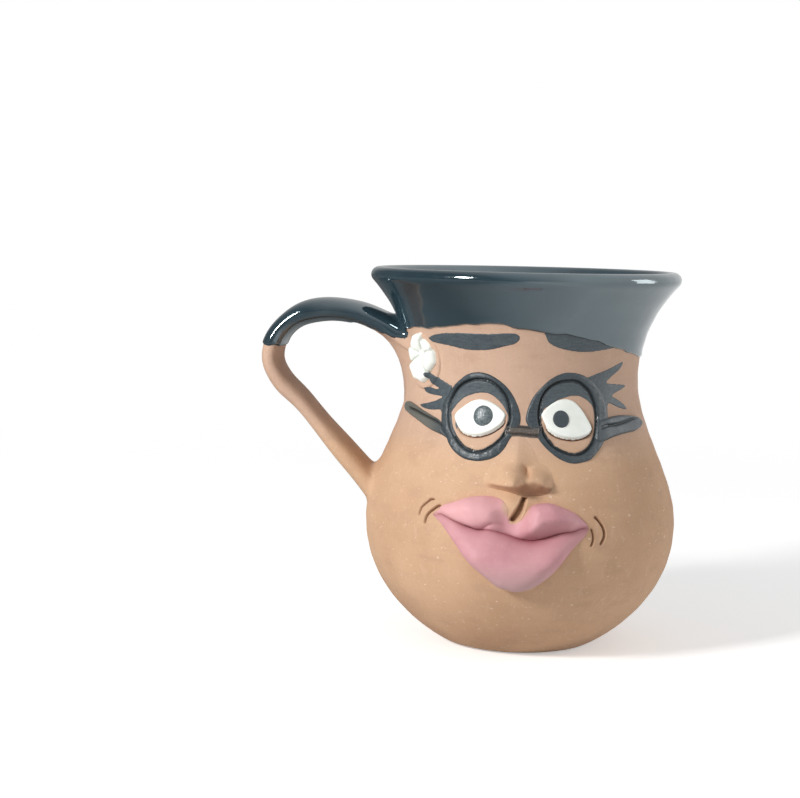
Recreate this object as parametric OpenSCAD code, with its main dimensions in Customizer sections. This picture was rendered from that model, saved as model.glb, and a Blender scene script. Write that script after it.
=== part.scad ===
// A hand-thrown clay mug with a flared black lip, a pulled strap handle and a comic face.
// The face looks along -Y, the handle stands out along -X, and the foot's centre is the origin.
// Left and right are as seen by someone who looks at the face.

/* [Vessel] */
// Height of the vessel from its foot to the top of its lip
body_h = 100; // [90:0.5:112]
// Largest radius of the belly
belly_r = 41.7; // [40:0.1:45]
// Height of the widest part of the belly, as a share of the vessel's height
belly_z_share = 0.332; // [0.3:0.002:0.36]
// Radius of the flat foot
foot_r = 19; // [17:0.5:22]
// Radius of the neck
neck_r = 30.85; // [29.8:0.05:32.5]
// Height of the narrowest part of the neck, as a share of the vessel's height
neck_z_share = 0.72; // [0.69:0.005:0.74]
// Outer radius of the lip, as a share of the belly's radius
lip_r_share = 0.986; // [0.93:0.002:1.05]
// Thickness of the clay wall at the foot
wall_t = 4.2; // [3.4:0.1:5]
// Thickness of the lip, which is a half round
lip_t = 3.4; // [2.6:0.1:4]
// Thickness of the floor
floor_t = 4.6; // [4:0.1:6]

/* [Glaze] */
// Thickness of the glaze coat
glaze_t = 0.4; // [0.3:0.05:0.6]
// Height of the glaze line at the back and the sides, as a share of the vessel's height
glaze_z_share = 0.78; // [0.76:0.005:0.8]
// Rise of the glaze line from there to the parting over the brow
parting_rise = 9.5; // [8:0.5:10]

/* [Handle] */
// Reach of the strap's middle from the mug's axis
handle_reach = 68; // [62:0.5:76]
// Height of the strap's middle at its top, as a share of the vessel's height
handle_top_share = 0.884; // [0.86:0.002:0.9]
// Height of the strap's middle at its lower joint, as a share of the vessel's height
handle_low_share = 0.44; // [0.41:0.005:0.47]
// Width of the strap
strap_w = 16.5; // [13:0.5:20]
// Thickness of the strap
strap_t = 5.4; // [4:0.2:7]

/* [Eyes] */
// Height of the middle of the lenses, as a share of the vessel's height
eye_z_share = 0.639; // [0.63:0.001:0.65]
// Distance of the left lens from the middle of the face, along the wall
left_eye_x = 11.1; // [10.9:0.1:11.8]
// Distance of the right lens from the middle of the face, along the wall
right_eye_x = 11.7; // [11.4:0.1:12.3]
// Width of each white of clay
eye_w = 13.8; // [11:0.2:14.4]
// Height of each white of clay
eye_h = 8.8; // [7:0.2:9.6]
// Thickness of each white of clay
eye_t = 1.1; // [0.8:0.1:1.6]
// Radius of the left pupil
left_pupil_r = 2.45; // [1.6:0.05:2.8]
// Radius of the right pupil
right_pupil_r = 2.1; // [1.6:0.05:2.8]
// Height that each pupil stands out of its white
pupil_t = 0.6; // [0.3:0.1:1]

/* [Glasses] */
// Half the width of each lens opening, across the wall
lens_w = 8.1; // [7.9:0.05:8.4]
// Half the height of each lens opening
lens_h = 9.2; // [8.8:0.1:10]
// Width of the strip of clay round each lens, above and below it
rim_w = 2; // [1.5:0.1:2.1]
// Height that the strip stands out of the wall
rim_t = 1.1; // [0.8:0.1:1.6]
// Height of the bridge
bridge_w = 2.6; // [2:0.1:3]
// Width of the left arm
left_arm_w = 3.6; // [2.8:0.1:4]
// Width of the right arm
right_arm_w = 4.7; // [3.6:0.1:5]
// Height that each arm stands out of the wall
arm_t = 1.1; // [0.8:0.1:1.6]
// Reach of the left arm from the middle of the face, along the wall
left_arm_l = 50; // [46:0.5:54]
// Reach of the right arm from the middle of the face, along the wall
right_arm_l = 42; // [39:0.5:50]

/* [Nose] */
// Height of the nose's lower edge under its tip, as a share of the vessel's height
nose_z_share = 0.456; // [0.452:0.001:0.464]
// Length of the nose from its lower edge up to the bridge
nose_l = 12; // [10:0.2:12.4]
// Width of the nose at its wings
nose_w = 16; // [12:0.2:18]
// Height that the tip stands out of the wall
nose_t = 6.8; // [5:0.2:9]

/* [Mouth] */
// Height of the corners of the mouth, as a share of the vessel's height
mouth_z_share = 0.379; // [0.374:0.001:0.386]
// Width of the mouth, across the wall
mouth_w = 43; // [38:0.5:46]
// Height of the two peaks of the upper lip over the corners
upper_lip_h = 6.1; // [5:0.1:6.3]
// Height of the lower lip under the corners
lower_lip_h = 15.2; // [12:0.2:17]
// Height that the upper lip stands out of the wall
upper_lip_t = 4.2; // [3:0.2:5.4]
// Height that the lower lip stands out of the wall
lower_lip_t = 5.2; // [3.6:0.2:6.4]
// Gap between the lips
lip_gap = 0.2; // [0.1:0.05:0.4]

/* [Flower] */
// Height of the middle of the flower, as a share of the vessel's height
flower_z_share = 0.774; // [0.766:0.002:0.778]
// Distance of the flower from the middle of the face, along the wall on the handle's side
flower_x = 31.4; // [31:0.2:32]
// Radius of the flower
flower_r = 6.4; // [5.4:0.1:6.8]
// Height that the petals stand out of the pad under them
petal_t = 1.5; // [1:0.1:2.2]
// Thickness of the pad under the petals
pad_t = 0.7; // [0.5:0.1:1]

/* [Slip] */
// Thickness of the brushed black slip
slip_t = 0.25; // [0.15:0.05:0.4]
// Height of the middle of the brows, as a share of the vessel's height
brow_z_share = 0.828; // [0.822:0.001:0.832]
// Width of each brow, seen from the front
brow_w = 22.6; // [18:0.2:23]
// Height of each brow
brow_h = 4.2; // [3:0.1:4.6]
// Reach of the lashes, from the middle of the lens to their first notch
lash_reach = 11.4; // [10.6:0.2:11.6]
// Height that the lid's lower edge lies under the top of the lens
lid_h = 3.7; // [3:0.1:4.2]

/* [Hidden] */
$fn = 180;

// The lip is opened about as wide as the belly
lip_r = lip_r_share * belly_r;
// Heights of the vessel's own parts and of what sits on it, which all move with its height
belly_z = belly_z_share * body_h;
neck_z = neck_z_share * body_h;
glaze_z = glaze_z_share * body_h;
handle_top_z = handle_top_share * body_h;
handle_low_z = handle_low_share * body_h;
eye_z = eye_z_share * body_h;
nose_z = nose_z_share * body_h;
mouth_z = mouth_z_share * body_h;
flower_z = flower_z_share * body_h;
brow_z = brow_z_share * body_h;

mouth_shift_share = -0.058;
// Depth that a piece is drawn into the clay before the clay is cut out of it
bury = 1.2;
// Reach of a cutting block past what it cuts
overrun = 5;
// Middle of the mouth, of the nose and of the slit under it, to the side of the face's middle
mouth_shift = mouth_shift_share * mouth_w;
nose_shift = -0.05 * nose_w;
slit_shift = -0.036 * mouth_w;
// Running gap between pieces that lie side by side on the wall
side_gap = 0.12;
// Least thickness of the nose at its smoothed edge
feather_t = 0.15;
// Depth of the lines incised in the clay
groove_d = 0.7;
// Width of a smile line
groove_w = 0.9;

// Exponents that set how the foot, the belly and the lip curve
foot_power = 0.85;
belly_power = 2.2;
flare_power = 2.3;
// The slope at the foot itself is read this share of the way up to the belly
first_share = 0.004;
// Exponent that sets the rows closer together near the foot, where the section turns most
row_power = 1.25;

// Colours of the fired clay, the glaze, the slip and the paints
clay = [0.80, 0.60, 0.46];
black_glaze = [0.13, 0.16, 0.18];
black_slip = [0.24, 0.25, 0.25];
white_clay = [0.93, 0.93, 0.88];
pink_paint = [0.88, 0.60, 0.64];

// The lip is a half round that leans out as far as the wall under it does
lip_lean = atan(flare_power * (lip_r - neck_r) / (body_h - neck_z));
lip_half = lip_t / 2;
lip_centre = [lip_r - lip_half, body_h - lip_half];
flare_z = lip_centre[1] - lip_half * sin(lip_lean);
flare_r = lip_centre[0] + lip_half * cos(lip_lean);

// Outer radius of the clay at a height
function lower_share(z) = 1 - pow(1 - z / belly_z, belly_power);
function lower_r(z) = foot_r + (belly_r - foot_r) * pow(lower_share(z), foot_power);
function waist_share(z) = (z - belly_z) / (neck_z - belly_z);
function waist_r(z) =
    let (t = waist_share(z)) belly_r - (belly_r - neck_r) * t * t * (3 - 2 * t);
function flare_share(z) = (z - neck_z) / (flare_z - neck_z);
function upper_r(z) = neck_r + (flare_r - neck_r) * pow(flare_share(z), flare_power);
function wall_r(z) =
    z <= belly_z ? lower_r(max(z, 0)) : z <= neck_z ? waist_r(z) : upper_r(min(z, flare_z));

// Slope of that radius, which is how much it grows for each unit of height
function lower_slope(z) =
    let (low = max(z, first_share * belly_z))
        (belly_r - foot_r) * foot_power * pow(lower_share(low), foot_power - 1)
            * belly_power / belly_z * pow(1 - low / belly_z, belly_power - 1);
function waist_slope(z) =
    let (t = waist_share(z)) -(belly_r - neck_r) * 6 * t * (1 - t) / (neck_z - belly_z);
function upper_slope(z) =
    (flare_r - neck_r) * flare_power / (flare_z - neck_z) * pow(flare_share(z), flare_power - 1);
function slope(z) =
    z <= belly_z ? lower_slope(max(z, 0))
    : z <= neck_z ? waist_slope(z) : upper_slope(min(z, flare_z));

// Point of the section that lies a distance out of the wall, square to it
function skin(z, out) =
    let (m = slope(z), q = sqrt(1 + m * m)) [wall_r(z) + out / q, z - out * m / q];

// Thickness of the wall, which thins from the foot to the lip
function wall_at(z) = wall_t + (lip_t - wall_t) * z / flare_z;

// Heights at which the section is drawn, with a knot at each change of curve
function spread(low, high, count, bias = 1) =
    [for (i = [0 : count - 1]) low + (high - low) * pow(i / count, bias)];
rows = concat(
    spread(0, belly_z, 12, row_power), spread(belly_z, neck_z, 14),
    spread(neck_z, glaze_z, 4), spread(glaze_z, flare_z, 9)
);
glazed_rows = [for (z = rows) if (z >= glaze_z) z];
function reversed(list) = [for (i = [len(list) - 1 : -1 : 0]) list[i]];
inner_rows = reversed(rows);

// Half round over the lip, from its outer side to its inner side
lip_steps = 10;
function lip_arc(grow, first, last) = [
    for (i = [first : last])
        let (a = -lip_lean + 180 * i / lip_steps)
            lip_centre + (lip_half + grow) * [cos(a), sin(a)]
];

// Inner outline of the wall from the lip down to the floor, with a coat of some thickness
function cavity_side(coat) = [
    for (z = inner_rows)
        let (p = skin(z, -wall_at(z) - coat)) if (p[1] > floor_t + wall_t / 4) p
];
function cavity_floor(coat) = [[foot_r - wall_t, floor_t + coat], [0, floor_t + coat]];

module clay_fill() {
    rotate_extrude()
        polygon(concat(
            [[0, 0]], [for (z = rows) skin(z, 0)], lip_arc(0, 0, lip_steps / 2 + 1), [[0, body_h]]
        ));
}

// Outline given as lengths along the wall at the mouth's height, seen from the front
function front_points(outline) = [
    for (p = outline) [wall_r(p[1]) * sin(arc_phi(p[0], mouth_z)), p[1]]
];

// Point on the wall at an angle and a height, lifted out of it
function wall_point(phi, z, lift) =
    let (p = skin(z, lift)) [p[0] * sin(phi), -p[0] * cos(phi), p[1]];

// Angle that a length along the wall takes up at a height
function arc_phi(length, z) = length / wall_r(z) * 180 / PI;

// Closed solid through a list of loops that all have as many points
module loft(loops, ring = false) {
    n = len(loops[0]);
    m = len(loops);
    side = [
        for (i = [0 : m - (ring ? 1 : 2)], j = [0 : n - 1])
            let (k = (i + 1) % m, l = (j + 1) % n)
                each [[i * n + j, k * n + l, i * n + l], [i * n + j, k * n + j, k * n + l]]
    ];
    last = (m - 1) * n;
    caps = [for (j = [1 : n - 2]) each [[0, j, j + 1], [last, last + j + 1, last + j]]];
    polyhedron([for (loop = loops) each loop], ring ? side : concat(side, caps));
}

// Copy of an outline that is drawn in towards its own middle
function mean(outline) = [for (i = [1 : len(outline)]) 1] * outline / len(outline);
function drawn_in(outline, share) =
    let (middle = mean(outline)) [for (p = outline) middle + share * (p - middle)];

// Pillow of clay on the wall: its outline, drawn in by each step's share and lifted by its lift
module pillow(outline, phi, z, steps) {
    loft([
        for (s = steps)
            [for (p = outline) wall_point(phi + arc_phi(s[0] * p[0], z), z + s[0] * p[1], s[1])]
    ]);
}

// What a prism seen from the front covers of a coat on the wall
module front_coat(thick, low, high) {
    between = [for (z = rows) if (z > low && z < high) z];
    knots = concat([low], between, [high]);
    intersection() {
        difference() {
            rotate_extrude()
                polygon(concat(
                    [for (z = knots) skin(z, thick)],
                    [for (z = reversed(knots)) skin(z, -bury)]
                ));
            clay_fill();
        }
        front_prism() children();
    }
}

module front_prism() {
    rotate([90, 0, 0])
        linear_extrude(belly_r + overrun)
            children();
}

// Vessel
//
// The thrown pot: one closed wall, with the smile lines pressed into it.

smile_shares = [
    // Side of the mouth, reach past the corner, radius, lift of the centre and half angle
    [-1, 0.035, 0.105, 0.10, 38], [-1, -0.045, 0.095, 0.08, 30],
    [1, 0.055, 0.13, 0.0, 36], [1, -0.012, 0.10, -0.04, 32]
];

function smile_line(s) =
    let (radius = s[2] * mouth_w, steps = 8, side = s[0])
    let (cx = side * (0.5 + s[1]) * mouth_w - side * radius + mouth_shift)
    let (cz = mouth_z + s[3] * mouth_w)
    let (edge = function(r, a) [cx + side * r * cos(a), cz + r * sin(a)])
    concat(
        [for (i = [0 : steps]) edge(radius, s[4] * (2 * i / steps - 1))],
        [for (i = [steps - 1 : -1 : 1])
            let (a = s[4] * (2 * i / steps - 1)) edge(radius - groove_w * cos(90 * a / s[4]), a)]
    );

// Slit from the nose down into the dip of the upper lip, as shares of the upper lip's height
slit_shares = [[0.40, 1.06], [0.52, 1.0], [0.12, 0.1], [-0.06, -0.06], [-0.2, 0.0], [0.1, 0.7]];
function slit_line() = [
    for (s = slit_shares) [s[0] * upper_lip_h, mouth_z + s[1] * upper_lip_h] + [slit_shift, 0]
];

module incision(outline) {
    low = mouth_z - mouth_w / 4;
    high = mouth_z + mouth_w / 3;
    knots = spread(low, high, 8);
    intersection() {
        rotate_extrude()
            polygon(concat(
                [for (z = knots) skin(z, bury)],
                [for (z = reversed(knots)) skin(z, -groove_d)]
            ));
        front_prism() polygon(outline);
    }
}

module vessel() {
    color(clay)
        difference() {
            rotate_extrude()
                polygon(concat(
                    [[0, 0]], [for (z = rows) skin(z, 0)],
                    lip_arc(0, 0, lip_steps), cavity_side(0), cavity_floor(0)
                ));
            for (s = smile_shares) incision(front_points(smile_line(s)));
            incision(front_points(slit_line()));
        }
}

// Glaze
//
// The pot was dipped lip down, so one glossy coat lines it and covers its upper quarter. Over
// the brow the line was wiped up to a parting.

parting_shares = [
    // Place across the neck's radius, and height over the glaze line
    [-1.5, 0.50], [-1.024, 0.505], [-0.953, 0.726], [-0.758, 0.83], [-0.572, 0.937],
    [-0.359, 1], [-0.188, 1], [-0.014, 0.90], [0.176, 0.82], [0.327, 0.73], [0.49, 0.62],
    [0.64, 0.49], [0.751, 0.36], [0.85, 0.24], [0.939, 0.10], [1.007, 0.02], [1.089, 0]
];

module parting() {
    polygon(concat(
        [for (s = parting_shares) [s[0] * neck_r, glaze_z + s[1] * parting_rise]],
        [for (s = [1.089, -1.5]) [s * neck_r, glaze_z - overrun]]
    ));
}

module vessel_glaze() {
    color(black_glaze)
        difference() {
            rotate_extrude()
                polygon(concat(
                    [for (z = glazed_rows) skin(z, glaze_t)], lip_arc(glaze_t, 0, lip_steps),
                    cavity_side(glaze_t), cavity_floor(glaze_t),
                    reversed(cavity_floor(0)), reversed(cavity_side(0)),
                    reversed(lip_arc(0, 0, lip_steps)), [for (z = reversed(glazed_rows)) skin(z, 0)]
                ));
            difference() {
                union() {
                    front_prism() parting();
                    strap(glaze_t, root_share);
                }
                clay_fill();
            }
        }
}

// Handle
//
// A pulled strap: it leaves the neck, rises, turns over and runs down to the belly.

strap_shares = [
    // Place between the neck and the reach, and between the lower joint and the top
    [-0.104, 0.775], [0.057, 0.854], [0.22, 0.935], [0.407, 0.989], [0.623, 1],
    [0.812, 0.957], [0.954, 0.845], [1, 0.697], [0.925, 0.562], [0.771, 0.436],
    [0.583, 0.254], [0.407, 0.09], [0.246, -0.056], [0.112, -0.17]
];
function beside(s) = [
    -neck_r - s[0] * (handle_reach - neck_r),
    handle_low_z + s[1] * (handle_top_z - handle_low_z)
];
strap_knots = [for (s = strap_shares) beside(s)];
strap_steps = 3;
strap_sides = 18;

// Curve through four knots, at a share of the way from the second to the third
function through(a, b, c, d, t) =
    (2 * b + (c - a) * t + (2 * a - 5 * b + 4 * c - d) * t * t
        + (3 * b - a - 3 * c + d) * t * t * t) / 2;

strap_path = [
    for (i = [0 : len(strap_knots) - 2], k = [0 : strap_steps - 1])
        let (last = len(strap_knots) - 1)
            through(
                strap_knots[max(i - 1, 0)], strap_knots[i],
                strap_knots[i + 1], strap_knots[min(i + 2, last)], k / strap_steps
            )
];

// Swelling of the strap towards its joints, where wet clay was smoothed on
function swell(s) = s < 0.24 ? pow(1 - s / 0.24, 2) : s > 0.74 ? pow((s - 0.74) / 0.26, 2) : 0;

function strap_loop(i, grow) =
    let (last = len(strap_path) - 1, s = i / last)
    let (run = strap_path[min(i + 1, last)] - strap_path[max(i - 1, 0)])
    let (ahead = run / norm(run), square = [ahead[1], -ahead[0]])
    let (half_t = strap_t / 2 * (1 + 0.9 * swell(s)) + grow)
    let (half_w = strap_w / 2 * (1 + 0.22 * swell(s)) + grow)
    [
        for (k = [0 : strap_sides - 1])
            let (a = 360 * k / strap_sides, c = cos(a), d = sin(a))
            let (across = sign(c) * pow(abs(c), 0.8) * half_t)
                [
                    strap_path[i][0] + square[0] * across,
                    sign(d) * pow(abs(d), 0.9) * half_w,
                    strap_path[i][1] + square[1] * across
                ]
    ];

// The strap, or the first share of it
module strap(grow, upto_share = 1) {
    loft([for (i = [0 : floor(upto_share * (len(strap_path) - 1))]) strap_loop(i, grow)]);
}

module handle() {
    color(clay)
        difference() {
            strap(0);
            clay_fill();
        }
}

// Part of the side view that the dip covered, without the bare patch under the upper joint
dipped_shares = [
    [-0.1, 0.78], [0.354, 0.918], [0.515, 0.918], [0.634, 0.79], [1.37, 0.79], [1.37, 1.2],
    [-0.1, 1.2]
];
// Shares of the strap that reach past its upper joint and past the dip's line
root_share = 0.22;
dip_share = 0.62;

module handle_glaze() {
    color(black_glaze)
        difference() {
            intersection() {
                strap(glaze_t, dip_share);
                translate([0, strap_w, 0])
                    rotate([90, 0, 0])
                        linear_extrude(2 * strap_w)
                            polygon([for (s = dipped_shares) beside(s)]);
            }
            strap(0, dip_share);
            clay_fill();
        }
}

// Nose
//
// Clay drawn out of the wall: a ridge that swells to a blunt tip, with a wing at each side and
// a steep underside. The whole nose leans, so its left wing is higher.

nose_steps = 20;
nose_sides = 18;
nose_lean_share = 0.09;

// Half width and lift at a share of the way down from the bridge to the lower edge
function nose_half(t) =
    nose_w / 2 * (0.2 + 0.8 * pow(t, 2.1)) * (t > 0.86 ? 1 - 1.6 * pow((t - 0.86) / 0.28, 2) : 1);
function nose_lift(t) =
    nose_t * (t < 0.78 ? 0.05 + 0.95 * pow(sin(90 * t / 0.78), 1.9)
        : pow(cos(90 * (t - 0.78) / 0.22), 0.7));
function nose_bulge(u, t) =
    let (ridge = 0.7 * exp(-pow(u / (0.36 + 0.1 * t), 2)) + 0.3 * exp(-pow(u / 0.75, 2)))
    let (wing = 0.34 * pow(t, 3) * exp(-pow((abs(u) - 0.62) / 0.26, 2)))
        (ridge + (1 - ridge) * wing) * (1 - pow(u, 4));

module nose() {
    color(clay)
        difference() {
            loft([
                for (i = [0 : nose_steps])
                    let (t = i / nose_steps, z = nose_z + nose_l * (1 - t), w = nose_half(t))
                    let (lean = -nose_lean_share * nose_l * t, x = nose_shift)
                        concat(
                            [for (j = [0 : nose_sides])
                                let (u = 1 - 2 * j / nose_sides)
                                    wall_point(
                                        arc_phi(x + u * w, z), z + lean * u,
                                        feather_t + nose_lift(t) * nose_bulge(u, t)
                                    )],
                            [for (u = [-1, 0, 1])
                                wall_point(arc_phi(x + u * w, z), z + lean * u, -bury)]
                        )
            ]);
            clay_fill();
        }
}

// Mouth
//
// Two thick lips that meet in a wavy line. Each is drawn from the left corner to the right one.

lip_cols = 46;
lip_sides = 9;

// Outlines of the lips: place from corner to corner, and share of the lip's height
peak_shares = [
    [0, 0], [0.10, 0.34], [0.20, 0.70], [0.29, 0.96], [0.37, 1.02], [0.43, 0.94], [0.47, 0.78],
    [0.495, 0.4], [0.52, -0.04], [0.555, 0.06], [0.59, 0.26], [0.62, 0.5], [0.65, 0.69],
    [0.69, 0.77], [0.73, 0.77], [0.79, 0.66], [0.86, 0.50], [0.93, 0.24], [1, -0.08]
];
meet_shares = [
    [0, 0], [0.09, -0.02], [0.17, -0.08], [0.24, -0.19], [0.30, -0.24], [0.36, -0.1],
    [0.43, -0.06], [0.48, -0.18], [0.53, -0.41], [0.58, -0.57], [0.64, -0.66], [0.70, -0.57],
    [0.76, -0.42], [0.88, -0.27], [0.96, -0.17], [1, -0.14]
];
chin_shares = [
    [0, -0.01], [0.05, -0.1], [0.105, -0.22], [0.22, -0.51], [0.29, -0.655], [0.36, -0.78],
    [0.457, -0.93], [0.54, -1], [0.60, -0.98], [0.66, -0.90], [0.75, -0.73], [0.84, -0.51],
    [0.92, -0.29], [1, -0.08]
];

function eased(t) = t * t * (3 - 2 * t);
function read(shares, u, i = 0) =
    i >= len(shares) - 2 || u <= shares[i + 1][0]
    ? let (t = (u - shares[i][0]) / (shares[i + 1][0] - shares[i][0]))
        shares[i][1] + (shares[i + 1][1] - shares[i][1]) * (0.5 * t + 0.5 * eased(t))
    : read(shares, u, i + 1);

function meet_z(u) = mouth_z + upper_lip_h * read(meet_shares, u);

module lip(top_z, low_z, lift) {
    difference() {
        loft([
            for (i = [0 : lip_cols])
                let (s = i / lip_cols, u = 0.6 * s + 0.2 * (1 - cos(180 * s)))
                let (phi = arc_phi(mouth_shift + (u - 0.5) * mouth_w, mouth_z))
                let (a = low_z(u), b = max(top_z(u), a + side_gap))
                    concat(
                        [for (j = [0 : lip_sides])
                            let (v = 1 - j / lip_sides)
                                wall_point(phi, a + (b - a) * v, lift(u, v))],
                        [for (v = [0, 1]) wall_point(phi, a + (b - a) * v, -bury)]
                    )
        ]);
        clay_fill();
    }
}

// Rise from the corners, the same for both lips
function from_corners(u) = pow(max(sin(180 * u), 0.02), 0.75);

module upper_lip() {
    color(pink_paint)
        lip(
            function(u) mouth_z + upper_lip_h * read(peak_shares, u),
            function(u) meet_z(u) + lip_gap / 2,
            function(u, v)
                upper_lip_t * from_corners(u) * (0.12 + 0.88 * pow(sin(min(150 * (1 - v) + 12, 130)), 1.2))
                    * (1 - 0.3 * exp(-pow((u - 0.5) / 0.05, 2)) * v)
        );
}

module lower_lip() {
    color(pink_paint)
        lip(
            function(u) meet_z(u) - lip_gap / 2,
            function(u) mouth_z + lower_lip_h * read(chin_shares, u),
            function(u, v)
                lower_lip_t * from_corners(u) * (v > 0.6
                    ? 0.35 + 0.65 * cos(90 * (v - 0.6) / 0.4)
                    : sqrt(max(1 - pow((0.6 - v) / 0.62, 2.4), 0)))
        );
}

// Eyes
//
// A pointed oval of white clay with a round of slip on it. Each eye has its own tilt and looks
// its own way.

almond_sides = 30;
function almond(up_share, tilt, shift) = [
    for (i = [0 : almond_sides - 1])
        let (a = 360 * i / almond_sides, s = sin(a))
        let (x = eye_w / 2 * cos(a))
        let (y = eye_h * (s > 0 ? up_share : -(1 - up_share)) * pow(abs(s), 1.7))
            [x * cos(tilt) - y * sin(tilt), x * sin(tilt) + y * cos(tilt)] + eye_h * shift
];

left_almond = almond(0.55, 7.5, [0.03, -0.08]);
right_almond = almond(0.62, -14, [-0.03, -0.145]);

module white(outline, phi) {
    loft([
        for (s = [[1, -bury], [1, 0.55 * eye_t], [0.93, 0.9 * eye_t], [0.72, eye_t],
            [0.4, 1.06 * eye_t], [0.04, 1.1 * eye_t]])
            [for (p = drawn_in(outline, s[0])) wall_point(phi + arc_phi(p[0], eye_z), eye_z + p[1], s[1])]
    ]);
}

module eye_white(outline, phi) {
    color(white_clay)
        difference() {
            white(outline, phi);
            clay_fill();
        }
}

function round_outline(r, wide, high, sides) =
    [for (i = [0 : sides - 1]) r * [wide * cos(360 * i / sides), high * sin(360 * i / sides)]];

module pupil(outline, phi, place, radius, dome) {
    top = 1.1 * eye_t + pupil_t;
    rounds = round_outline(radius, 1, 1, 18);
    color(black_slip)
        difference() {
            pillow(
                rounds, phi + arc_phi(place[0] * eye_h, eye_z), eye_z + place[1] * eye_h,
                [[1, eye_t / 2], [1, top - dome * pupil_t], [0.7, top - 0.35 * dome * pupil_t],
                    [0.1, top]]
            );
            white(outline, phi);
        }
}

module left_pupil() {
    pupil(left_almond, eye_phi(-1), [0.16, 0.02], left_pupil_r, 1);
}

module right_pupil() {
    pupil(right_almond, eye_phi(1), [-0.24, -0.03], right_pupil_r, 0.3);
}

// Glasses
//
// A strip of clay round each lens, with a groove pressed by a tube along its inner edge and its
// outer edge smoothed down, a bridge, and two arms with a line pressed along them.

rim_steps = 44;
function eye_phi(side) = arc_phi(side < 0 ? -left_eye_x : right_eye_x, eye_z);
rim_section_shares = [[0, -1], [0, 0.3], [0.2, 0.36], [0.4, 0.94], [0.62, 1], [1, 0.3], [1, -1]];
// The strip is this much wider at the sides of a lens than above it
rim_side_share = 1.5;

// Point of a rim: its side of the face, the way round it, and the shares of its section
function rim_point(side, a, across, lift) =
    let (w = lens_w + across * rim_w * rim_side_share, h = lens_h + across * rim_w)
        wall_point(eye_phi(side) + arc_phi(w * cos(a), eye_z), eye_z + h * sin(a), lift);

module rim_ring(side) {
    loft([
        for (i = [0 : rim_steps - 1])
            let (a = 360 * i / rim_steps)
                [for (s = rim_section_shares) rim_point(side, a, s[0], s[1] < 0 ? -bury : s[1] * rim_t)]
    ], true);
}

module lens_rim(side) {
    color(black_slip)
        difference() {
            rim_ring(side);
            clay_fill();
        }
}

// Angle of a rim's outer edge at a height, on the side towards or away from the nose
function rim_edge_phi(side, away, z) =
    let (rise = (z - eye_z) / (lens_h + rim_w))
    let (w = lens_w + rim_w * rim_side_share)
        eye_phi(side) + side * away * arc_phi(w * sqrt(max(1 - rise * rise, 0)) + side_gap, eye_z);

arm_steps = 12;
bridge_z = eye_z - 0.36 * lens_h;
arm_z = eye_z - 0.42 * lens_h;
arm_section_shares = [
    [-0.5, -1], [-0.5, 0.6], [-0.34, 0.95], [-0.1, 1], [0, 0.45], [0.1, 0.9], [0.36, 0.8],
    [0.5, 0.45], [0.5, -1]
];
bridge_section_shares = [[0.5, -1], [0.5, 0.4], [0.2, 0.85], [-0.24, 1], [-0.5, 0.6], [-0.5, -1]];

// Bar on the wall between two edges, each given as an angle for a height
module bar(section, wide, z_at, from, to, steps) {
    difference() {
        loft([
            for (i = [0 : steps])
                let (t = i / steps, end = max(t - 0.9, 0) / 0.1)
                let (taper = sqrt(1 - 0.75 * end * end))
                    [for (s = section)
                        let (z0 = z_at(0) + s[0] * wide)
                            wall_point(
                                from(z0) * (1 - t) + to(z0) * t, z_at(t) + s[0] * wide * taper,
                                s[1] < 0 ? -bury : s[1] * arm_t * taper
                            )]
        ]);
        clay_fill();
    }
}

module glasses_arm(side, wide, rise, reach) {
    color(black_slip)
        bar(
            concat([[0, -1]], side < 0 ? arm_section_shares : reversed(arm_section_shares)),
            wide, function(t) arm_z + rise * lens_h * (1 - pow(1 - t, 1.6)),
            function(z) rim_edge_phi(side, 1, z), function(z) side * arc_phi(reach, arm_z), arm_steps
        );
}

module left_glasses_arm() {
    glasses_arm(-1, left_arm_w, 0.45, left_arm_l);
}

module right_glasses_arm() {
    glasses_arm(1, right_arm_w, 0.08, right_arm_l);
}

// The bridge runs from rim to rim, so it keeps its full section
module glasses_bridge() {
    color(black_slip)
        difference() {
            loft([
                for (t = [0 : 0.25 : 1])
                    [for (s = bridge_section_shares)
                        let (z = bridge_z + s[0] * bridge_w)
                            wall_point(
                                rim_edge_phi(-1, -1, z) * (1 - t) + rim_edge_phi(1, -1, z) * t, z,
                                s[1] < 0 ? -bury : s[1] * arm_t
                            )]
            ]);
            clay_fill();
        }
}

// Flower
//
// Five petals of white clay round a small ball, pressed onto a thin pad beside the eye.

petal_count = 5;
petal_phi = 360 / petal_count;
centre_r = 0.22 * flower_r;
flower_phi = arc_phi(flower_x, flower_z);
pad_share = 1.15;

// Petal in the flower's own plane: a teardrop that widens from the ball to its round end
function petal_outline(turn, grow) =
    let (near = centre_r + side_gap, far = flower_r, sides = 14)
    let (mid = (near + far) / 2, half = (far - near) / 2 + grow)
    let (wide = min((far - near) * 0.51, mid * sin(petal_phi / 2) - side_gap) + grow)
    [
        for (i = [0 : sides - 1])
            let (a = 360 * i / sides)
            let (along = mid + half * cos(a), across = wide * sin(a) * (1 + 0.22 * cos(a)))
                [along * cos(turn) - across * sin(turn), along * sin(turn) + across * cos(turn)]
    ];

function pad_rounds(grow) = round_outline(pad_share * flower_r + grow, 1, 1, 36);

module pad_pillow(grow = 0) {
    pillow(
        pad_rounds(grow), -flower_phi, flower_z,
        [[1, -bury], [1, 0.7 * pad_t + grow], [0.96, pad_t + grow], [0.55, pad_t + grow],
            [0.05, pad_t + grow]]
    );
}

module flower_pad() {
    color(clay)
        difference() {
            pad_pillow();
            clay_fill();
        }
}

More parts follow.
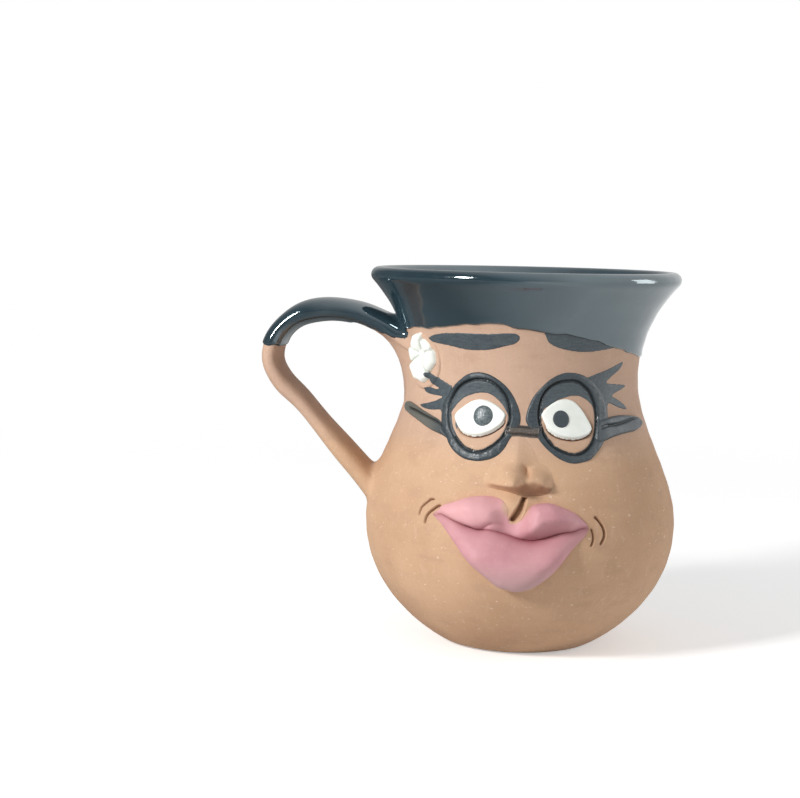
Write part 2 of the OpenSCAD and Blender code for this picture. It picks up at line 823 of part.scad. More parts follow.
// Lump of clay on the pad, drawn in towards its own middle as it rises
module lump(outline, height) {
    steps = [[1, pad_t / 2], [1, pad_t + 0.5 * height], [0.82, pad_t + 0.86 * height],
        [0.45, pad_t + height], [0.08, pad_t + height]];
    loft([
        for (s = steps)
            [for (p = drawn_in(outline, s[0]))
                wall_point(-flower_phi + arc_phi(p[0], flower_z), flower_z + p[1], s[1])]
    ]);
}

module petal_lump(i, grow = 0) {
    lump(petal_outline(90 + petal_phi * i, grow), petal_t + grow);
}

module flower_petal(i) {
    color(white_clay)
        difference() {
            petal_lump(i);
            pad_pillow();
        }
}

module flower_centre() {
    color(white_clay)
        difference() {
            lump(round_outline(centre_r, 1, 1, 12), petal_t);
            pad_pillow();
        }
}

// Slip
//
// Black slip brushed on the bare clay: the brows, the shaded lids and the lashes.

left_brow_shares = [
    [-1, 0.08], [-0.86, 0.38], [-0.62, 0.50], [0, 0.53], [0.55, 0.53], [0.9, 0.5], [1, 0.2],
    [0.97, -0.1], [0.82, -0.32], [0.5, -0.47], [0.1, -0.5], [-0.4, -0.47], [-0.72, -0.3],
    [-0.9, -0.12]
];
right_brow_shares = [
    [-1, 0.75], [-1, 0.3], [-0.95, 0.05], [-0.8, -0.2], [-0.5, -0.42], [-0.1, -0.52],
    [0.3, -0.52], [0.68, -0.42], [1, -0.38], [1, 0.3], [0.6, 0.5], [0.2, 0.75]
];

// The glaze lies over whatever slip it reaches, so a brow stops at the parting
module brow(shares, middle) {
    color(black_slip)
        front_coat(slip_t, brow_z - brow_h, brow_z + brow_h)
            intersection() {
                polygon([
                    for (s = shares) [middle + s[0] * brow_w / 2, brow_z + s[1] * brow_h]
                ]);
                parting();
            }
}

// Lens opening seen from the front, moved down and grown
function lens_outline(side, down, grow = 0) = front_outline([
    for (i = [0 : 35])
        let (a = 10 * i)
            [(lens_w + grow * rim_side_share) * cos(a), (lens_h + grow) * sin(a) - down]
], eye_phi(side), eye_z);

function front_outline(outline, phi, z) = [
    for (p = outline)
        let (height = z + p[1]) [wall_r(height) * sin(phi + arc_phi(p[0], z)), height]
];

module eyelid(side, outline) {
    color(black_slip)
        front_coat(slip_t, eye_z, eye_z + lens_h)
            difference() {
                polygon(lens_outline(side, 0, -side_gap));
                polygon(lens_outline(side, lid_h));
                polygon(front_outline(1.03 * outline, eye_phi(side), eye_z));
                translate([-belly_r, 0]) square([2 * belly_r, eye_z + side_gap]);
            }
}

// Lashes: the outline of the three strokes of each eye, from its lens, as shares of their reach
left_lash_shares = [
    [-0.70, 0.62], [-0.76, 0.60], [-1.02, 0.71], [-1.36, 0.91], [-1.60, 0.93], [-1.66, 0.86],
    [-1.42, 0.70], [-1.17, 0.545], [-1.35, 0.575], [-1.55, 0.54], [-1.70, 0.45], [-1.50, 0.375],
    [-1.12, 0.345], [-1.05, 0.29], [-1.50, 0.165], [-1.84, 0.09], [-1.41, 0.05],
    [-1.04, 0.03], [-0.80, 0.06]
];
right_lash_shares = [
    [0.42, 0.80], [0.45, 0.86], [0.70, 0.90], [1.10, 1.05], [1.68, 1.16], [1.42, 0.92],
    [1.12, 0.745], [1.32, 0.71], [1.56, 0.67], [1.88, 0.60], [1.59, 0.48], [1.29, 0.42],
    [1.55, 0.27], [1.88, 0.05], [1.49, 0.11], [1.14, 0.23], [1.09, -0.05], [0.84, -0.05]
];

module lash_shape(side, shares) {
    difference() {
        polygon(front_outline(
            [for (s = shares) [s[0] * lash_reach, s[1] * lash_reach]], eye_phi(side), eye_z
        ));
        polygon(lens_outline(side, 0, rim_w + side_gap));
    }
}

// The highest stroke of the left lashes climbs over the flower's pad and onto its lowest petals
climbed_petals = [3, 4];

module left_lashes() {
    color(black_slip)
        difference() {
            intersection() {
                union() {
                    front_coat(slip_t, eye_z - lens_h, eye_z + 1.8 * lens_h)
                        lash_shape(-1, left_lash_shares);
                    pad_pillow(slip_t);
                    for (i = climbed_petals) petal_lump(i, slip_t);
                }
                front_prism() lash_shape(-1, left_lash_shares);
            }
            clay_fill();
            pad_pillow();
            for (i = climbed_petals) petal_lump(i);
        }
}

module right_lashes() {
    color(black_slip)
        front_coat(slip_t, eye_z - lens_h, eye_z + 1.8 * lens_h)
            lash_shape(1, right_lash_shares);
}

vessel();
vessel_glaze();
handle();
handle_glaze();
nose();
upper_lip();
lower_lip();
eye_white(left_almond, eye_phi(-1));  // left_eye_white
eye_white(right_almond, eye_phi(1));  // right_eye_white
left_pupil();
right_pupil();
lens_rim(-1);  // left_lens_rim
lens_rim(1);  // right_lens_rim
glasses_bridge();
left_glasses_arm();
right_glasses_arm();
flower_pad();
flower_petal(0);  // flower_petal_1
flower_petal(1);  // flower_petal_2
flower_petal(2);  // flower_petal_3
flower_petal(3);  // flower_petal_4
flower_petal(4);  // flower_petal_5
flower_centre();
brow(left_brow_shares, -brow_w / 2 - 0.04 * brow_w);  // left_brow
brow(right_brow_shares, brow_w / 2 + 0.26 * brow_w);  // right_brow
eyelid(-1, left_almond);  // left_eyelid
eyelid(1, right_almond);  // right_eyelid
left_lashes();
right_lashes();
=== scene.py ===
# %% [markdown]
# A clay mug with a comic face
#
# The mug was thrown on a wheel, given a strap handle and a face of applied clay, and dipped
# upside down in black glaze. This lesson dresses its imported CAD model: every solid gets a finer
# mesh in the same place, and a finish made of nodes. Lengths are written in millimetres, as a
# potter measures, and turned into metres only where a mesh is made.

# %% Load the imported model
import functools
import math

import bpy
import numpy as np
from mathutils import Matrix, Vector


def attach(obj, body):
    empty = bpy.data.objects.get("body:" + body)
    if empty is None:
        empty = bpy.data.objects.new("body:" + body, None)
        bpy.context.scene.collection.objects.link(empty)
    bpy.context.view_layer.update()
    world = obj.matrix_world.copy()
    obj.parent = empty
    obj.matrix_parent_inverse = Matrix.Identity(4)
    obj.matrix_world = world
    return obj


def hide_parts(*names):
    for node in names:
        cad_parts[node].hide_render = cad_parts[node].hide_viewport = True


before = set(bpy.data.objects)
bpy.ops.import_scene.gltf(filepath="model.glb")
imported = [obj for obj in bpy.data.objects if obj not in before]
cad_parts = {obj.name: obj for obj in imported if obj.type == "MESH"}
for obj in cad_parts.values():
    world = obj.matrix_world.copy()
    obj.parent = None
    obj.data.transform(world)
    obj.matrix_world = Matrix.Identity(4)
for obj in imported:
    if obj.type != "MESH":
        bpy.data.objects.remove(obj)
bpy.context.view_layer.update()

# %% [markdown]
# Where the camera stands
#
# A camera looks along its own -Z axis, with X to the right and Y up. It could be aimed with a
# constraint, but here the three axes are worked out from a turn, a downward tip and a small
# roll, so the view can be matched to a picture number by number.

# %% Place the camera
MM = 0.001
IMAGE_WIDE, SENSOR_WIDE = 800, 36


def placed(name, data):
    """A new object, linked into the scene."""
    made = bpy.data.objects.new(name, data)
    bpy.context.scene.collection.objects.link(made)
    return made


def camera_axes(turn, tip, roll):
    turn, tip, roll = map(math.radians, (turn, tip, roll))
    ahead = np.array(
        [-math.sin(turn) * math.cos(tip), math.cos(turn) * math.cos(tip), -math.sin(tip)]
    )
    level = np.array([math.cos(turn), math.sin(turn), 0])
    above = np.cross(level, ahead)
    across = level * math.cos(roll) + above * math.sin(roll)
    upward = -level * math.sin(roll) + above * math.cos(roll)
    return across, upward, -ahead


def stand_camera(place, turn, tip, roll, focal_pixels):
    lens = bpy.data.cameras.new("camera")
    lens.sensor_width = SENSOR_WIDE
    lens.lens = focal_pixels * SENSOR_WIDE / IMAGE_WIDE
    lens.clip_start = 0.01
    camera = placed("camera", lens)
    stand = np.stack([*camera_axes(turn, tip, roll), np.array(place) * MM], 1)
    camera.matrix_world = Matrix([*stand.tolist(), (0, 0, 0, 1)])
    bpy.context.scene.camera = camera
    print("camera lens:", round(lens.lens, 2), "mm")


stand_camera((1.1, -472.8, 110.6), turn=4.142, tip=5.561, roll=1.208, focal_pixels=1752.3)

# %% [markdown]
# Nodes for a finish
#
# A finish is a small graph of nodes. These helpers add one node with its settings and wire its
# sockets, and build up a colour coat by coat. A number that is the same all over a piece is set
# straight on the shader; only what varies over the surface comes from nodes.

# %% Helpers for finishes
def srgb(red, green, blue):
    """A colour as picked from a picture, 0 to 255, turned into the linear values nodes use."""
    shares = [value / 255 for value in (red, green, blue)]
    return tuple(s / 12.92 if s <= 0.04045 else ((s + 0.055) / 1.055) ** 2.4 for s in shares) + (1,)


class Nodes:
    """A graph of nodes, with short ways to add to it."""

    def __init__(self, tree):
        self.tree = tree

    def feed(self, socket, value):
        """Wire another node's output into a socket, or set the socket to a plain value."""
        if isinstance(value, bpy.types.NodeSocket):
            self.tree.links.new(value, socket)
        else:
            socket.default_value = value

    def node(self, kind, values=None, **settings):
        made = self.tree.nodes.new("ShaderNode" + kind)
        for key, value in settings.items():
            setattr(made, key, value)
        for socket, value in (values or {}).items():
            self.feed(made.inputs[socket], value)
        return made

    def stepped(self, value, low, high, out_low=0.0, out_high=1.0, soft=True):
        """Stretch the part of value between low and high over the whole of an output range."""
        spans = {"From Min": low, "From Max": high, "To Min": out_low, "To Max": out_high}
        style = "SMOOTHSTEP" if soft else "LINEAR"
        ramp = self.node("MapRange", {"Value": value, **spans}, interpolation_type=style)
        return ramp.outputs["Result"]

    def calculated(self, operation, first, second):
        return self.node("Math", {0: first, 1: second}, operation=operation).outputs["Value"]

    def times(self, first, second):
        return self.calculated("MULTIPLY", first, second)

    def plus(self, first, second):
        return self.calculated("ADD", first, second)

    def larger(self, first, second):
        return self.calculated("MAXIMUM", first, second)

    def blended(self, share, base, other):
        """Mix a second colour into the first; each is an output or four numbers."""
        return self.node("Mix", {0: share, 6: base, 7: other}, data_type="RGBA").outputs[2]


class Finish(Nodes):
    """A material whose colour so far is tone, laid out over the object's own places."""

    def __init__(self, name, roughness, tone=(255, 255, 255), **constant):
        self.material = bpy.data.materials.new(name)
        self.material.use_nodes = True
        super().__init__(self.material.node_tree)
        self.shader = self.tree.nodes["Principled BSDF"]
        for socket, value in {"Roughness": roughness, **constant}.items():
            self.feed(self.shader.inputs[socket.replace("_", " ")], value)
        self.where = self.node("TexCoord").outputs["Object"]
        self.tone = srgb(*tone)

    def axis(self, name):
        return self.node("SeparateXYZ", {0: self.where}).outputs[name]

    def grain(self, size, detail, roughness=0.55, stretch=(1, 1, 1), shift=0.0):
        """Noise with features about size millimetres across, drawn out along an axis if asked."""
        laid = self.node(
            "Mapping", {"Vector": self.where, "Scale": stretch, "Location": (shift, shift, shift)}
        )
        values = {"Scale": 1 / (size * MM), "Detail": detail, "Roughness": roughness}
        noise = self.node("TexNoise", {"Vector": laid.outputs["Vector"], **values})
        return noise.outputs["Fac"]

    def grit(self, spacing, radius, chance):
        """Small round specks: 1 inside a speck and 0 outside, one in a cell or none."""
        cells = self.node("TexVoronoi", {"Vector": self.where, "Scale": 1 / (spacing * MM)})
        inside = self.stepped(cells.outputs["Distance"], radius, radius * 0.45)
        return self.times(inside, self.stepped(cells.outputs["Color"], chance, chance + 0.02))

    def tint(self, colour, share, most=None):
        """Lay a colour over the tone by a share, or by so much of that share."""
        share = share if most is None else self.times(share, most)
        self.tone = self.blended(share, self.tone, srgb(*colour))

    def tint_deep_and_shade(self, colour, most):
        """Tint by the mesh's own "cut" value: painted shade in cuts and creases, and on the lips a
        deeper pink as well.
        """
        self.tint(colour, self.node("Attribute", attribute_name="cut").outputs["Fac"], most)

    def fired(self, roughness, height, strength, distance):
        """Wire the tone, a roughness and a bump of height into the shader."""
        values = {"Height": height, "Strength": strength, "Distance": distance * MM}
        normal = self.node("Bump", values).outputs["Normal"]
        wired = {"Base Color": self.tone, "Roughness": roughness, "Normal": normal}
        for socket, value in wired.items():
            self.feed(self.shader.inputs[socket], value)
        print("finish:", self.material.name)
        return self.material


# %% [markdown]
# Bare clay
#
# The clay is a low-fired earthenware: salmon to buff, matt, with pale grit that the sponge
# brought up, faint rings from the wheel and a few darker smears. One noise sets the slow change
# of tone, a stretched one the rings, and Voronoi cells with a small radius scatter the grit.

# %% Bare clay finish
SALMON, BUFF, GREYED, SMEAR = (197, 159, 127), (211, 174, 141), (199, 170, 154), (184, 148, 124)
GRAIN, SPONGED, PALE_GRIT = (176, 134, 106), (222, 190, 164), (243, 222, 198)
CLAY_SHADE = (118, 66, 38)


def mix_bare_clay():
    clay = Finish("bare_clay", 0.72, SALMON, Specular_IOR_Level=0.35)
    clay.tint(BUFF, clay.stepped(clay.grain(26, 2), 0.32, 0.68))
    brow = clay.stepped(clay.axis("Z"), 50 * MM, 62 * MM)
    clay.tint(GREYED, brow, 0.6)
    smear = clay.grain(9, 4, 0.6, stretch=(1, 1, 2.4), shift=3.1)
    clay.tint(SMEAR, clay.stepped(smear, 0.5, 0.72), 0.35)
    fine = clay.grain(0.5, 4, 0.7)
    clay.tint(GRAIN, clay.stepped(fine, 0.3, 0.7, 0, 0.16))
    chips = clay.stepped(clay.grain(0.75, 1, 0.5, (0.6, 0.6, 1.3), 5.5), 0.7, 0.77)
    dots = clay.times(clay.grit(spacing=1.2, radius=0.14, chance=0.72), 0.6)
    pale = clay.larger(dots, clay.times(chips, 0.5))
    pale = clay.times(pale, clay.stepped(brow, 0, 1, 1, 0.2, soft=False))
    sponged = clay.grain(2.2, 3, 0.6, stretch=(1.3, 1.3, 0.35), shift=9.2)
    clay.tint(SPONGED, clay.stepped(sponged, 0.56, 0.72), 0.22)
    clay.tint(PALE_GRIT, pale)
    # Painted shade in the pin lines, the slit, the grooves under the whites and under the nose
    clay.tint_deep_and_shade(CLAY_SHADE, 0.85)
    rings = clay.grain(5, 3, 0.5, stretch=(0.35, 0.35, 5), shift=7.7)
    height = clay.plus(clay.plus(clay.times(rings, 0.6), fine), clay.times(pale, 0.8))
    rough = clay.stepped(fine, 0.3, 0.7, 0.62, 0.84)
    return clay.fired(rough, height, strength=0.35, distance=0.12)


bare_clay = mix_bare_clay()

# %% [markdown]
# Black glaze
#
# The dip left a thick, glassy, blue-black coat. Its colour comes mostly from what it mirrors,
# so the base is dark and the roughness low. A slow, shallow bump gives the slight ripple of
# poured glass, and pinpricks keep the mirror from looking machined.

# %% Black glaze finish
BLUE_BLACK, CLOUD, PINPRICK = (34, 51, 59), (47, 65, 74), (92, 104, 108)
COOL_MIRROR = (0.84, 0.96, 1, 1)


def mix_black_glaze():
    glaze = Finish("black_glaze", 0.08, BLUE_BLACK, IOR=2.2, Specular_Tint=COOL_MIRROR)
    glaze.tint(CLOUD, glaze.stepped(glaze.grain(22, 3), 0.3, 0.7))
    glaze.tint(PINPRICK, glaze.grit(spacing=1.6, radius=0.1, chance=0.6), 0.5)
    haze = glaze.stepped(glaze.grain(3, 4, 0.6), 0.35, 0.75, 0.06, 0.16)
    height = glaze.plus(glaze.grain(9, 2), glaze.times(glaze.grain(1.2, 3), 0.1))
    return glaze.fired(haze, height, strength=0.25, distance=0.5)


black_glaze = mix_black_glaze()

# %% [markdown]
# Brushed slip
#
# Brows, lids and lashes are thin black slip laid on with a brush, so they dry to a grey satin
# with hair-fine streaks. The spectacles are modelled in relief and carry a thicker, darker coat
# that is made lighter towards the left arm, partly as the coat worn thin and partly as painted
# sheen from the lamp on that side. One recipe serves both, told how dark and how streaked to be.

# %% Slip finishes
WORN_AND_SHEEN_SLIP, SLIP_GROOVE_SHADE = (124, 121, 110), (14, 18, 20)


def mix_slip(name, dark, light, streak, roughness, strength, worn_and_sheen=0.0):
    slip = Finish(name, roughness, dark, IOR=1.5)
    hairs = slip.grain(0.9, 4, 0.65, stretch=(0.16, 1, 1.6), shift=1.3)
    mottle = slip.grain(0.45, 4, 0.7)
    share = slip.plus(slip.times(hairs, streak), slip.times(mottle, 1 - streak))
    slip.tint(light, slip.stepped(share, 0.32, 0.68))
    if worn_and_sheen:
        # Lighter and olive towards the left: partly the coat worn thin, partly painted sheen from
        # the lamp on that side
        slip.tint(WORN_AND_SHEEN_SLIP, slip.stepped(slip.axis("X"), -19 * MM, -25 * MM, 0, worn_and_sheen))
    # Painted shade in the pressed grooves and lines
    slip.tint_deep_and_shade(SLIP_GROOVE_SHADE, 0.85)
    rough = slip.stepped(mottle, 0.3, 0.7, roughness - 0.1, roughness + 0.14)
    return slip.fired(rough, share, strength, distance=0.2)


brushed_slip = mix_slip("brushed_slip", (58, 69, 75), (84, 94, 99), 0.5, 0.46, 0.25)
spectacle_slip = mix_slip("spectacle_slip", (46, 56, 61), (70, 80, 86), 0.35, 0.36, 0.4, worn_and_sheen=0.6)
bridge_slip = mix_slip("bridge_slip", (84, 78, 74), (112, 104, 98), 0.5, 0.2, 0.1)

# %% [markdown]
# Pink, white and pupils
#
# The lips are painted with a chalky pink that thins beside the slit, so clay tone comes
# through. The eyes and the flower are white clay left unpainted, faintly creamy and dusty. The
# pupils are dots of slip, a shiny one and a matt one.

# %% Pink, white and pupil finishes
SLIT_PLACE = (-0.8, -42.5, 42.8)
PINK, LIGHT_PINK, CHALK = (201, 143, 150), (216, 161, 166), (222, 184, 178)
LIT_LOBE_PINK, CHIN_PINK, DEEP_PINK = (246, 190, 190), (196, 162, 162), (146, 76, 84)
CLAY_THROUGH = (204, 166, 142)
CREAM, CHALK_WHITE = (238, 243, 235), (249, 252, 246)
DUST, GREY_CREASE_SHADE = (200, 192, 176), (176, 180, 170)


def mix_pink_paint():
    paint = Finish("pink_paint", 0.6, PINK, Specular_IOR_Level=0.4)
    paint.tint(LIGHT_PINK, paint.stepped(paint.grain(9, 3), 0.3, 0.7))
    chalk = paint.grain(1.1, 4, 0.65, shift=2.0)
    paint.tint(CHALK, paint.stepped(chalk, 0.5, 0.8, 0, 0.3))
    across, up = paint.axis("X"), paint.axis("Z")
    # Painted light: the upper lip's left lobe, which faces the lamp, is made paler and brighter
    left = paint.stepped(across, 4 * MM, -10 * MM, 0, 0.45)
    paint.tint(LIT_LOBE_PINK, paint.times(paint.stepped(up, 36 * MM, 40 * MM), left))
    paint.tint(CHIN_PINK, paint.stepped(up, 31 * MM, 21.5 * MM, 0, 0.8))
    slit = [value * MM for value in SLIT_PLACE]
    from_slit = paint.node("VectorMath", {0: paint.where, 1: slit}, operation="DISTANCE")
    paint.tint(CLAY_THROUGH, paint.stepped(from_slit.outputs["Value"], 4.3 * MM, 2.7 * MM))
    # Deeper pink by the line between the lips, partly the paint's own tone and partly painted
    # shade; painted shade in the fold
    paint.tint_deep_and_shade(DEEP_PINK, 0.9)
    rough = paint.stepped(chalk, 0.3, 0.7, 0.5, 0.72)
    return paint.fired(rough, paint.grain(0.5, 4, 0.6), strength=0.2, distance=0.12)


def mix_white_clay():
    white = Finish("white_clay", 0.5, CREAM, Specular_IOR_Level=0.5)
    white.tint(CHALK_WHITE, white.stepped(white.grain(5, 3), 0.3, 0.7))
    white.tint(DUST, white.grit(spacing=0.9, radius=0.16, chance=0.7), 0.4)
    # Painted shade, grey, in the flower's creases and dimple
    white.tint_deep_and_shade(GREY_CREASE_SHADE, 0.7)
    fine = white.grain(0.6, 4)
    rough = white.stepped(fine, 0.3, 0.7, 0.42, 0.62)
    return white.fired(rough, fine, strength=0.2, distance=0.12)


pink_paint = mix_pink_paint()
white_clay = mix_white_clay()
glossy_pupil = mix_slip("glossy_pupil", (78, 88, 92), (112, 122, 125), 0.3, 0.24, 0.5)
matt_pupil = mix_slip("matt_pupil", (50, 60, 66), (66, 76, 82), 0.3, 0.5, 0.25)

# %% [markdown]
# The thrown wall
#
# A potter's profile swells from a small foot to the belly, draws in to the neck and flares to
# the lip. It could be a spline, but formulas in the wall's own measures are what the solids
# use, so the fine mesh lies exactly on them. A few slow sines make it slightly uneven, as a
# hand-thrown wall is.

# %% The wall's measures and outline
FOOT_R, BELLY_R, NECK_R, LIP_R = 19.0, 41.7, 30.85, 41.116
BELLY_Z, NECK_Z, TOP_Z = 33.2, 72.0, 100.0
WALL_T, LIP_T, FLOOR_T, GLAZE_T = 4.2, 3.4, 4.6, 0.4
LIP_HALF = LIP_T / 2
LIP_LEAN = math.atan(2.3 * (LIP_R - NECK_R) / (TOP_Z - NECK_Z))
LIP_MID_R, LIP_MID_Z = LIP_R - LIP_HALF, TOP_Z - LIP_HALF
FLARE_Z = LIP_MID_Z - LIP_HALF * math.sin(LIP_LEAN)
FLARE_R = LIP_MID_R + LIP_HALF * math.cos(LIP_LEAN)


def wall_radius(z):
    z = np.asarray(z, float)
    rise = 1 - np.clip(1 - z / BELLY_Z, 0, 1) ** 2.2
    lower = FOOT_R + (BELLY_R - FOOT_R) * rise**0.85
    t = np.clip((z - BELLY_Z) / (NECK_Z - BELLY_Z), 0, 1)
    waist = BELLY_R - (BELLY_R - NECK_R) * t * t * (3 - 2 * t)
    t = np.clip((z - NECK_Z) / (FLARE_Z - NECK_Z), 0, None)
    upper = NECK_R + (FLARE_R - NECK_R) * t**2.3
    return np.where(z <= BELLY_Z, lower, np.where(z <= NECK_Z, waist, upper))


def wall_slope(z):
    z = np.asarray(z, float)
    low, high = np.maximum(z - 0.05, 0.02), np.maximum(z + 0.05, 0.12)
    return (wall_radius(high) - wall_radius(low)) / (high - low)


def unevenness(phi, z):
    """The hand's small departures from a true round, in mm."""
    turn = np.radians(phi)
    chance = np.random.default_rng(7)
    total = 0.0
    for around in (2, 3, 5, 7, 9):
        lean, phase = chance.uniform(-0.12, 0.12), chance.uniform(0, 6.28)
        total = total + 0.42 / (around + 1) * np.sin(around * turn + lean * z + phase)
    rings = np.sin(z * 1.15 + 0.6 * np.sin(turn) + 1.0) * 0.035
    fade = np.clip(z / 8, 0, 1) * np.clip((TOP_Z + 4 - z) / 12, 0.2, 1)
    return (total * 0.5 + rings) * fade


def turned(radius, phi, z):
    """Points at a radius, an angle from the face's middle and a height, as rows of x, y, z."""
    turn = np.radians(phi)
    return np.stack([radius * np.sin(turn), -radius * np.cos(turn), z + 0 * radius], -1)


def on_wall(phi, z, lift=0.0):
    """Points on the outside of the wall, or lift mm square off it."""
    slope = wall_slope(z)
    length = np.sqrt(1 + slope**2)
    radius = wall_radius(z) + unevenness(phi, z) + lift / length
    return turned(radius, phi, z - lift * slope / length)


def straight_out(phi, z, lift):
    """Points lifted level, away from the axis, so an undercut hides as it does on a real nose."""
    return turned(wall_radius(z) + unevenness(phi, z) + lift, phi, z)


print("lip leans", round(math.degrees(LIP_LEAN), 1), "degrees and starts at", round(FLARE_Z, 2))

# %% [markdown]
# From grids to pieces
#
# Nearly every piece here is a grid of points: rows up the wall and columns round it. Four
# neighbours make a face, listed so that its front looks outward. The maker then tells the frame
# which body the piece rides on and which solid it stands for.

# %% Helpers for pieces
def grid_faces(rows, columns, around=False):
    index = np.arange(rows * columns).reshape(rows, columns)
    if around:
        index = np.concatenate([index, index[:, :1]], axis=1)
    corners = [index[:-1, :-1], index[:-1, 1:], index[1:, 1:], index[1:, :-1]]
    return np.stack(corners, -1).reshape(-1, 4)


def clay_piece(name, points, faces, finish, slot, node_name, cut=None):
    """A piece from points in mm; a face whose last corner is doubled becomes a triangle.

    Points that no face uses are left out. Each point keeps a value from 0 to 1 for the finish to
    read: how much shade to paint in cuts, creases and under the nose, and on the lips a deeper
    pink.
    """
    points, faces = np.reshape(points, (-1, 3)), np.asarray(faces)
    used, compact = np.unique(faces, return_inverse=True)
    corners = [c[:3] if c[2] == c[3] else c for c in compact.reshape(faces.shape).tolist()]
    mesh = bpy.data.meshes.new(name)
    mesh.from_pydata((points[used] * MM).tolist(), [], corners)
    if cut is not None:
        depth = np.clip(np.ravel(cut)[used], 0, 1).astype(np.float32)
        mesh.attributes.new("cut", "FLOAT", "POINT").data.foreach_set("value", depth)
    mesh.validate()
    mesh.shade_smooth()
    mesh.materials.append(finish)
    piece = placed(name, mesh)
    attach(piece, "root")
    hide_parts(node_name)
    print(name, "has", len(mesh.polygons), "faces")


# %% [markdown]
# Outlines drawn on the wall
#
# The face is drawn on the wall as outlines of (degrees round, mm up). To shape relief inside an
# outline, each grid point needs its distance from the line. Blender has tools for that, but a
# few lines of numpy are quicker: the nearest point on each straight stretch, and a count of
# crossings to know which side it lies on.

# %% Distances from drawn lines
def smooth_line(points, closed=False, fine=6):
    """A curve through every point (Catmull-Rom), with fine steps between neighbours."""
    points = np.asarray(points, float)
    if closed:
        padded = np.concatenate([points[-1:], points, points[:2]])
    else:
        before, after = 2 * points[:1] - points[1:2], 2 * points[-1:] - points[-2:-1]
        padded = np.concatenate([before, points, after])
    a, b, c, d = padded[:-3], padded[1:-2], padded[2:-1], padded[3:]
    t = (np.arange(fine) / fine)[:, None, None]
    bend, twist = 2 * a - 5 * b + 4 * c - d, 3 * b - a - 3 * c + d
    curve = 0.5 * (2 * b + (c - a) * t + bend * t**2 + twist * t**3)
    curve = curve.transpose(1, 0, 2).reshape(-1, points.shape[1])
    return curve if closed else np.concatenate([curve, points[-1:]])


def read_off(place, line):
    """The value at a place on a line of (place, value), straight between its points."""
    return np.interp(place, *np.transpose(line))


def flat(phi, z):
    """Degrees and height as mm round and mm up, to measure distances in."""
    return np.radians(phi) * wall_radius(z), z


def plane_distance(x, y, line_x, line_y):
    """Distance from a line in a plane, and the share along it of the nearest place."""
    near, share = np.full(x.shape, 1e9), np.zeros(x.shape)
    count = len(line_x) - 1
    for i in range(count):
        run, rise = line_x[i + 1] - line_x[i], line_y[i + 1] - line_y[i]
        t = ((x - line_x[i]) * run + (y - line_y[i]) * rise) / (run * run + rise * rise + 1e-12)
        t = np.clip(t, 0, 1)
        gap = np.hypot(x - line_x[i] - t * run, y - line_y[i] - t * rise)
        share = np.where(gap < near, (i + t) / count, share)
        near = np.minimum(near, gap)
    return near, share


def plane_depth(x, y, line_x, line_y):
    """How far inside a closed line each place lies; outside is negative."""
    inside = np.zeros(x.shape, bool)
    for i in range(len(line_x)):
        ax, ay, bx, by = line_x[i - 1], line_y[i - 1], line_x[i], line_y[i]
        if ay != by:
            inside ^= ((ay > y) != (by > y)) & (x < ax + (y - ay) * (bx - ax) / (by - ay))
    near, _ = plane_distance(x, y, np.append(line_x, line_x[0]), np.append(line_y, line_y[0]))
    return np.where(inside, near, -near)


def line_distance(line, phi, z):
    return plane_distance(*flat(phi, z), *flat(*np.transpose(line)))


def depth_inside(outline, phi, z):
    return plane_depth(*flat(phi, z), *flat(*np.transpose(outline)))


def rounded(distance, run):
    """0 at an edge, rising as a quarter circle to 1 at run mm from it."""
    t = np.clip(distance / run, 0, 1)
    return np.sqrt(1 - (1 - t) ** 2)


def eased(value, low, high):
    """0 below low and 1 above high, with a soft rise between."""
    t = np.clip((value - low) / (np.maximum(high - low, 1e-6)), 0, 1)
    return t * t * (3 - 2 * t)


def crest(distance, half):
    """1 on a line and falling away smoothly on both sides of it."""
    return np.exp(-((distance / half) ** 2))


def ripple(phi, z, size, seed):
    """A small seeded unevenness between -1 and 1, with waves about size mm long."""
    x, y = flat(phi, z)
    chance, total = np.random.default_rng(seed), 0.0
    for _ in range(5):
        angle, phase = chance.uniform(0, 6.28), chance.uniform(0, 6.28)
        wave = 6.28 / size * chance.uniform(0.7, 1.5)
        total = total + np.sin(wave * (x * math.cos(angle) + y * math.sin(angle)) + phase)
    return total / 5


# %% [markdown]
# The body of the mug
#
# The pot is one closed skin: up the outside, over the lip, down the inside, across the floor,
# and back under the foot. Carving is done by moving points in: four smile lines drawn with a
# pin, and a slit cut slantwise under the nose. The grid is finest where those lines are, so
# they stay crisp without a heavy mesh everywhere.

# %% Outlines on the pot
LEFT_RIM_IN = smooth_line([
    (-21.1, 72.9), (-15.0, 72.5), (-10.7, 71.0), (-7.7, 69.1), (-5.9, 66.6), (-5.2, 63.6),
    (-6.1, 61.0), (-8.0, 58.8), (-11.1, 56.9), (-14.5, 55.5), (-17.6, 54.9), (-21.6, 55.2),
    (-25.5, 56.3), (-29.2, 58.1), (-32.2, 60.1), (-34.4, 62.6), (-35.3, 64.7), (-35.1, 66.9),
    (-33.4, 69.2), (-30.6, 70.9), (-26.5, 72.2),
], closed=True, fine=5)
LEFT_RIM_OUT = smooth_line([
    (-39.9, 64.0), (-39.4, 66.3), (-37.1, 68.8), (-34.1, 71.0), (-30.8, 72.6), (-27.3, 73.9),
    (-22.9, 74.6), (-18.8, 74.6), (-14.7, 74.0), (-10.7, 72.8), (-7.5, 71.4), (-4.7, 69.6),
    (-2.7, 67.7), (-1.2, 65.7), (-0.4, 63.7), (-0.8, 61.8), (-2.8, 60.0), (-4.8, 58.3),
    (-6.6, 56.1), (-9.1, 54.4), (-12.2, 53.3), (-16.2, 52.7), (-20.3, 52.7), (-24.1, 53.2),
    (-28.5, 54.6), (-31.8, 56.3), (-33.9, 57.8), (-36.5, 59.5), (-38.6, 61.5),
], closed=True, fine=4)
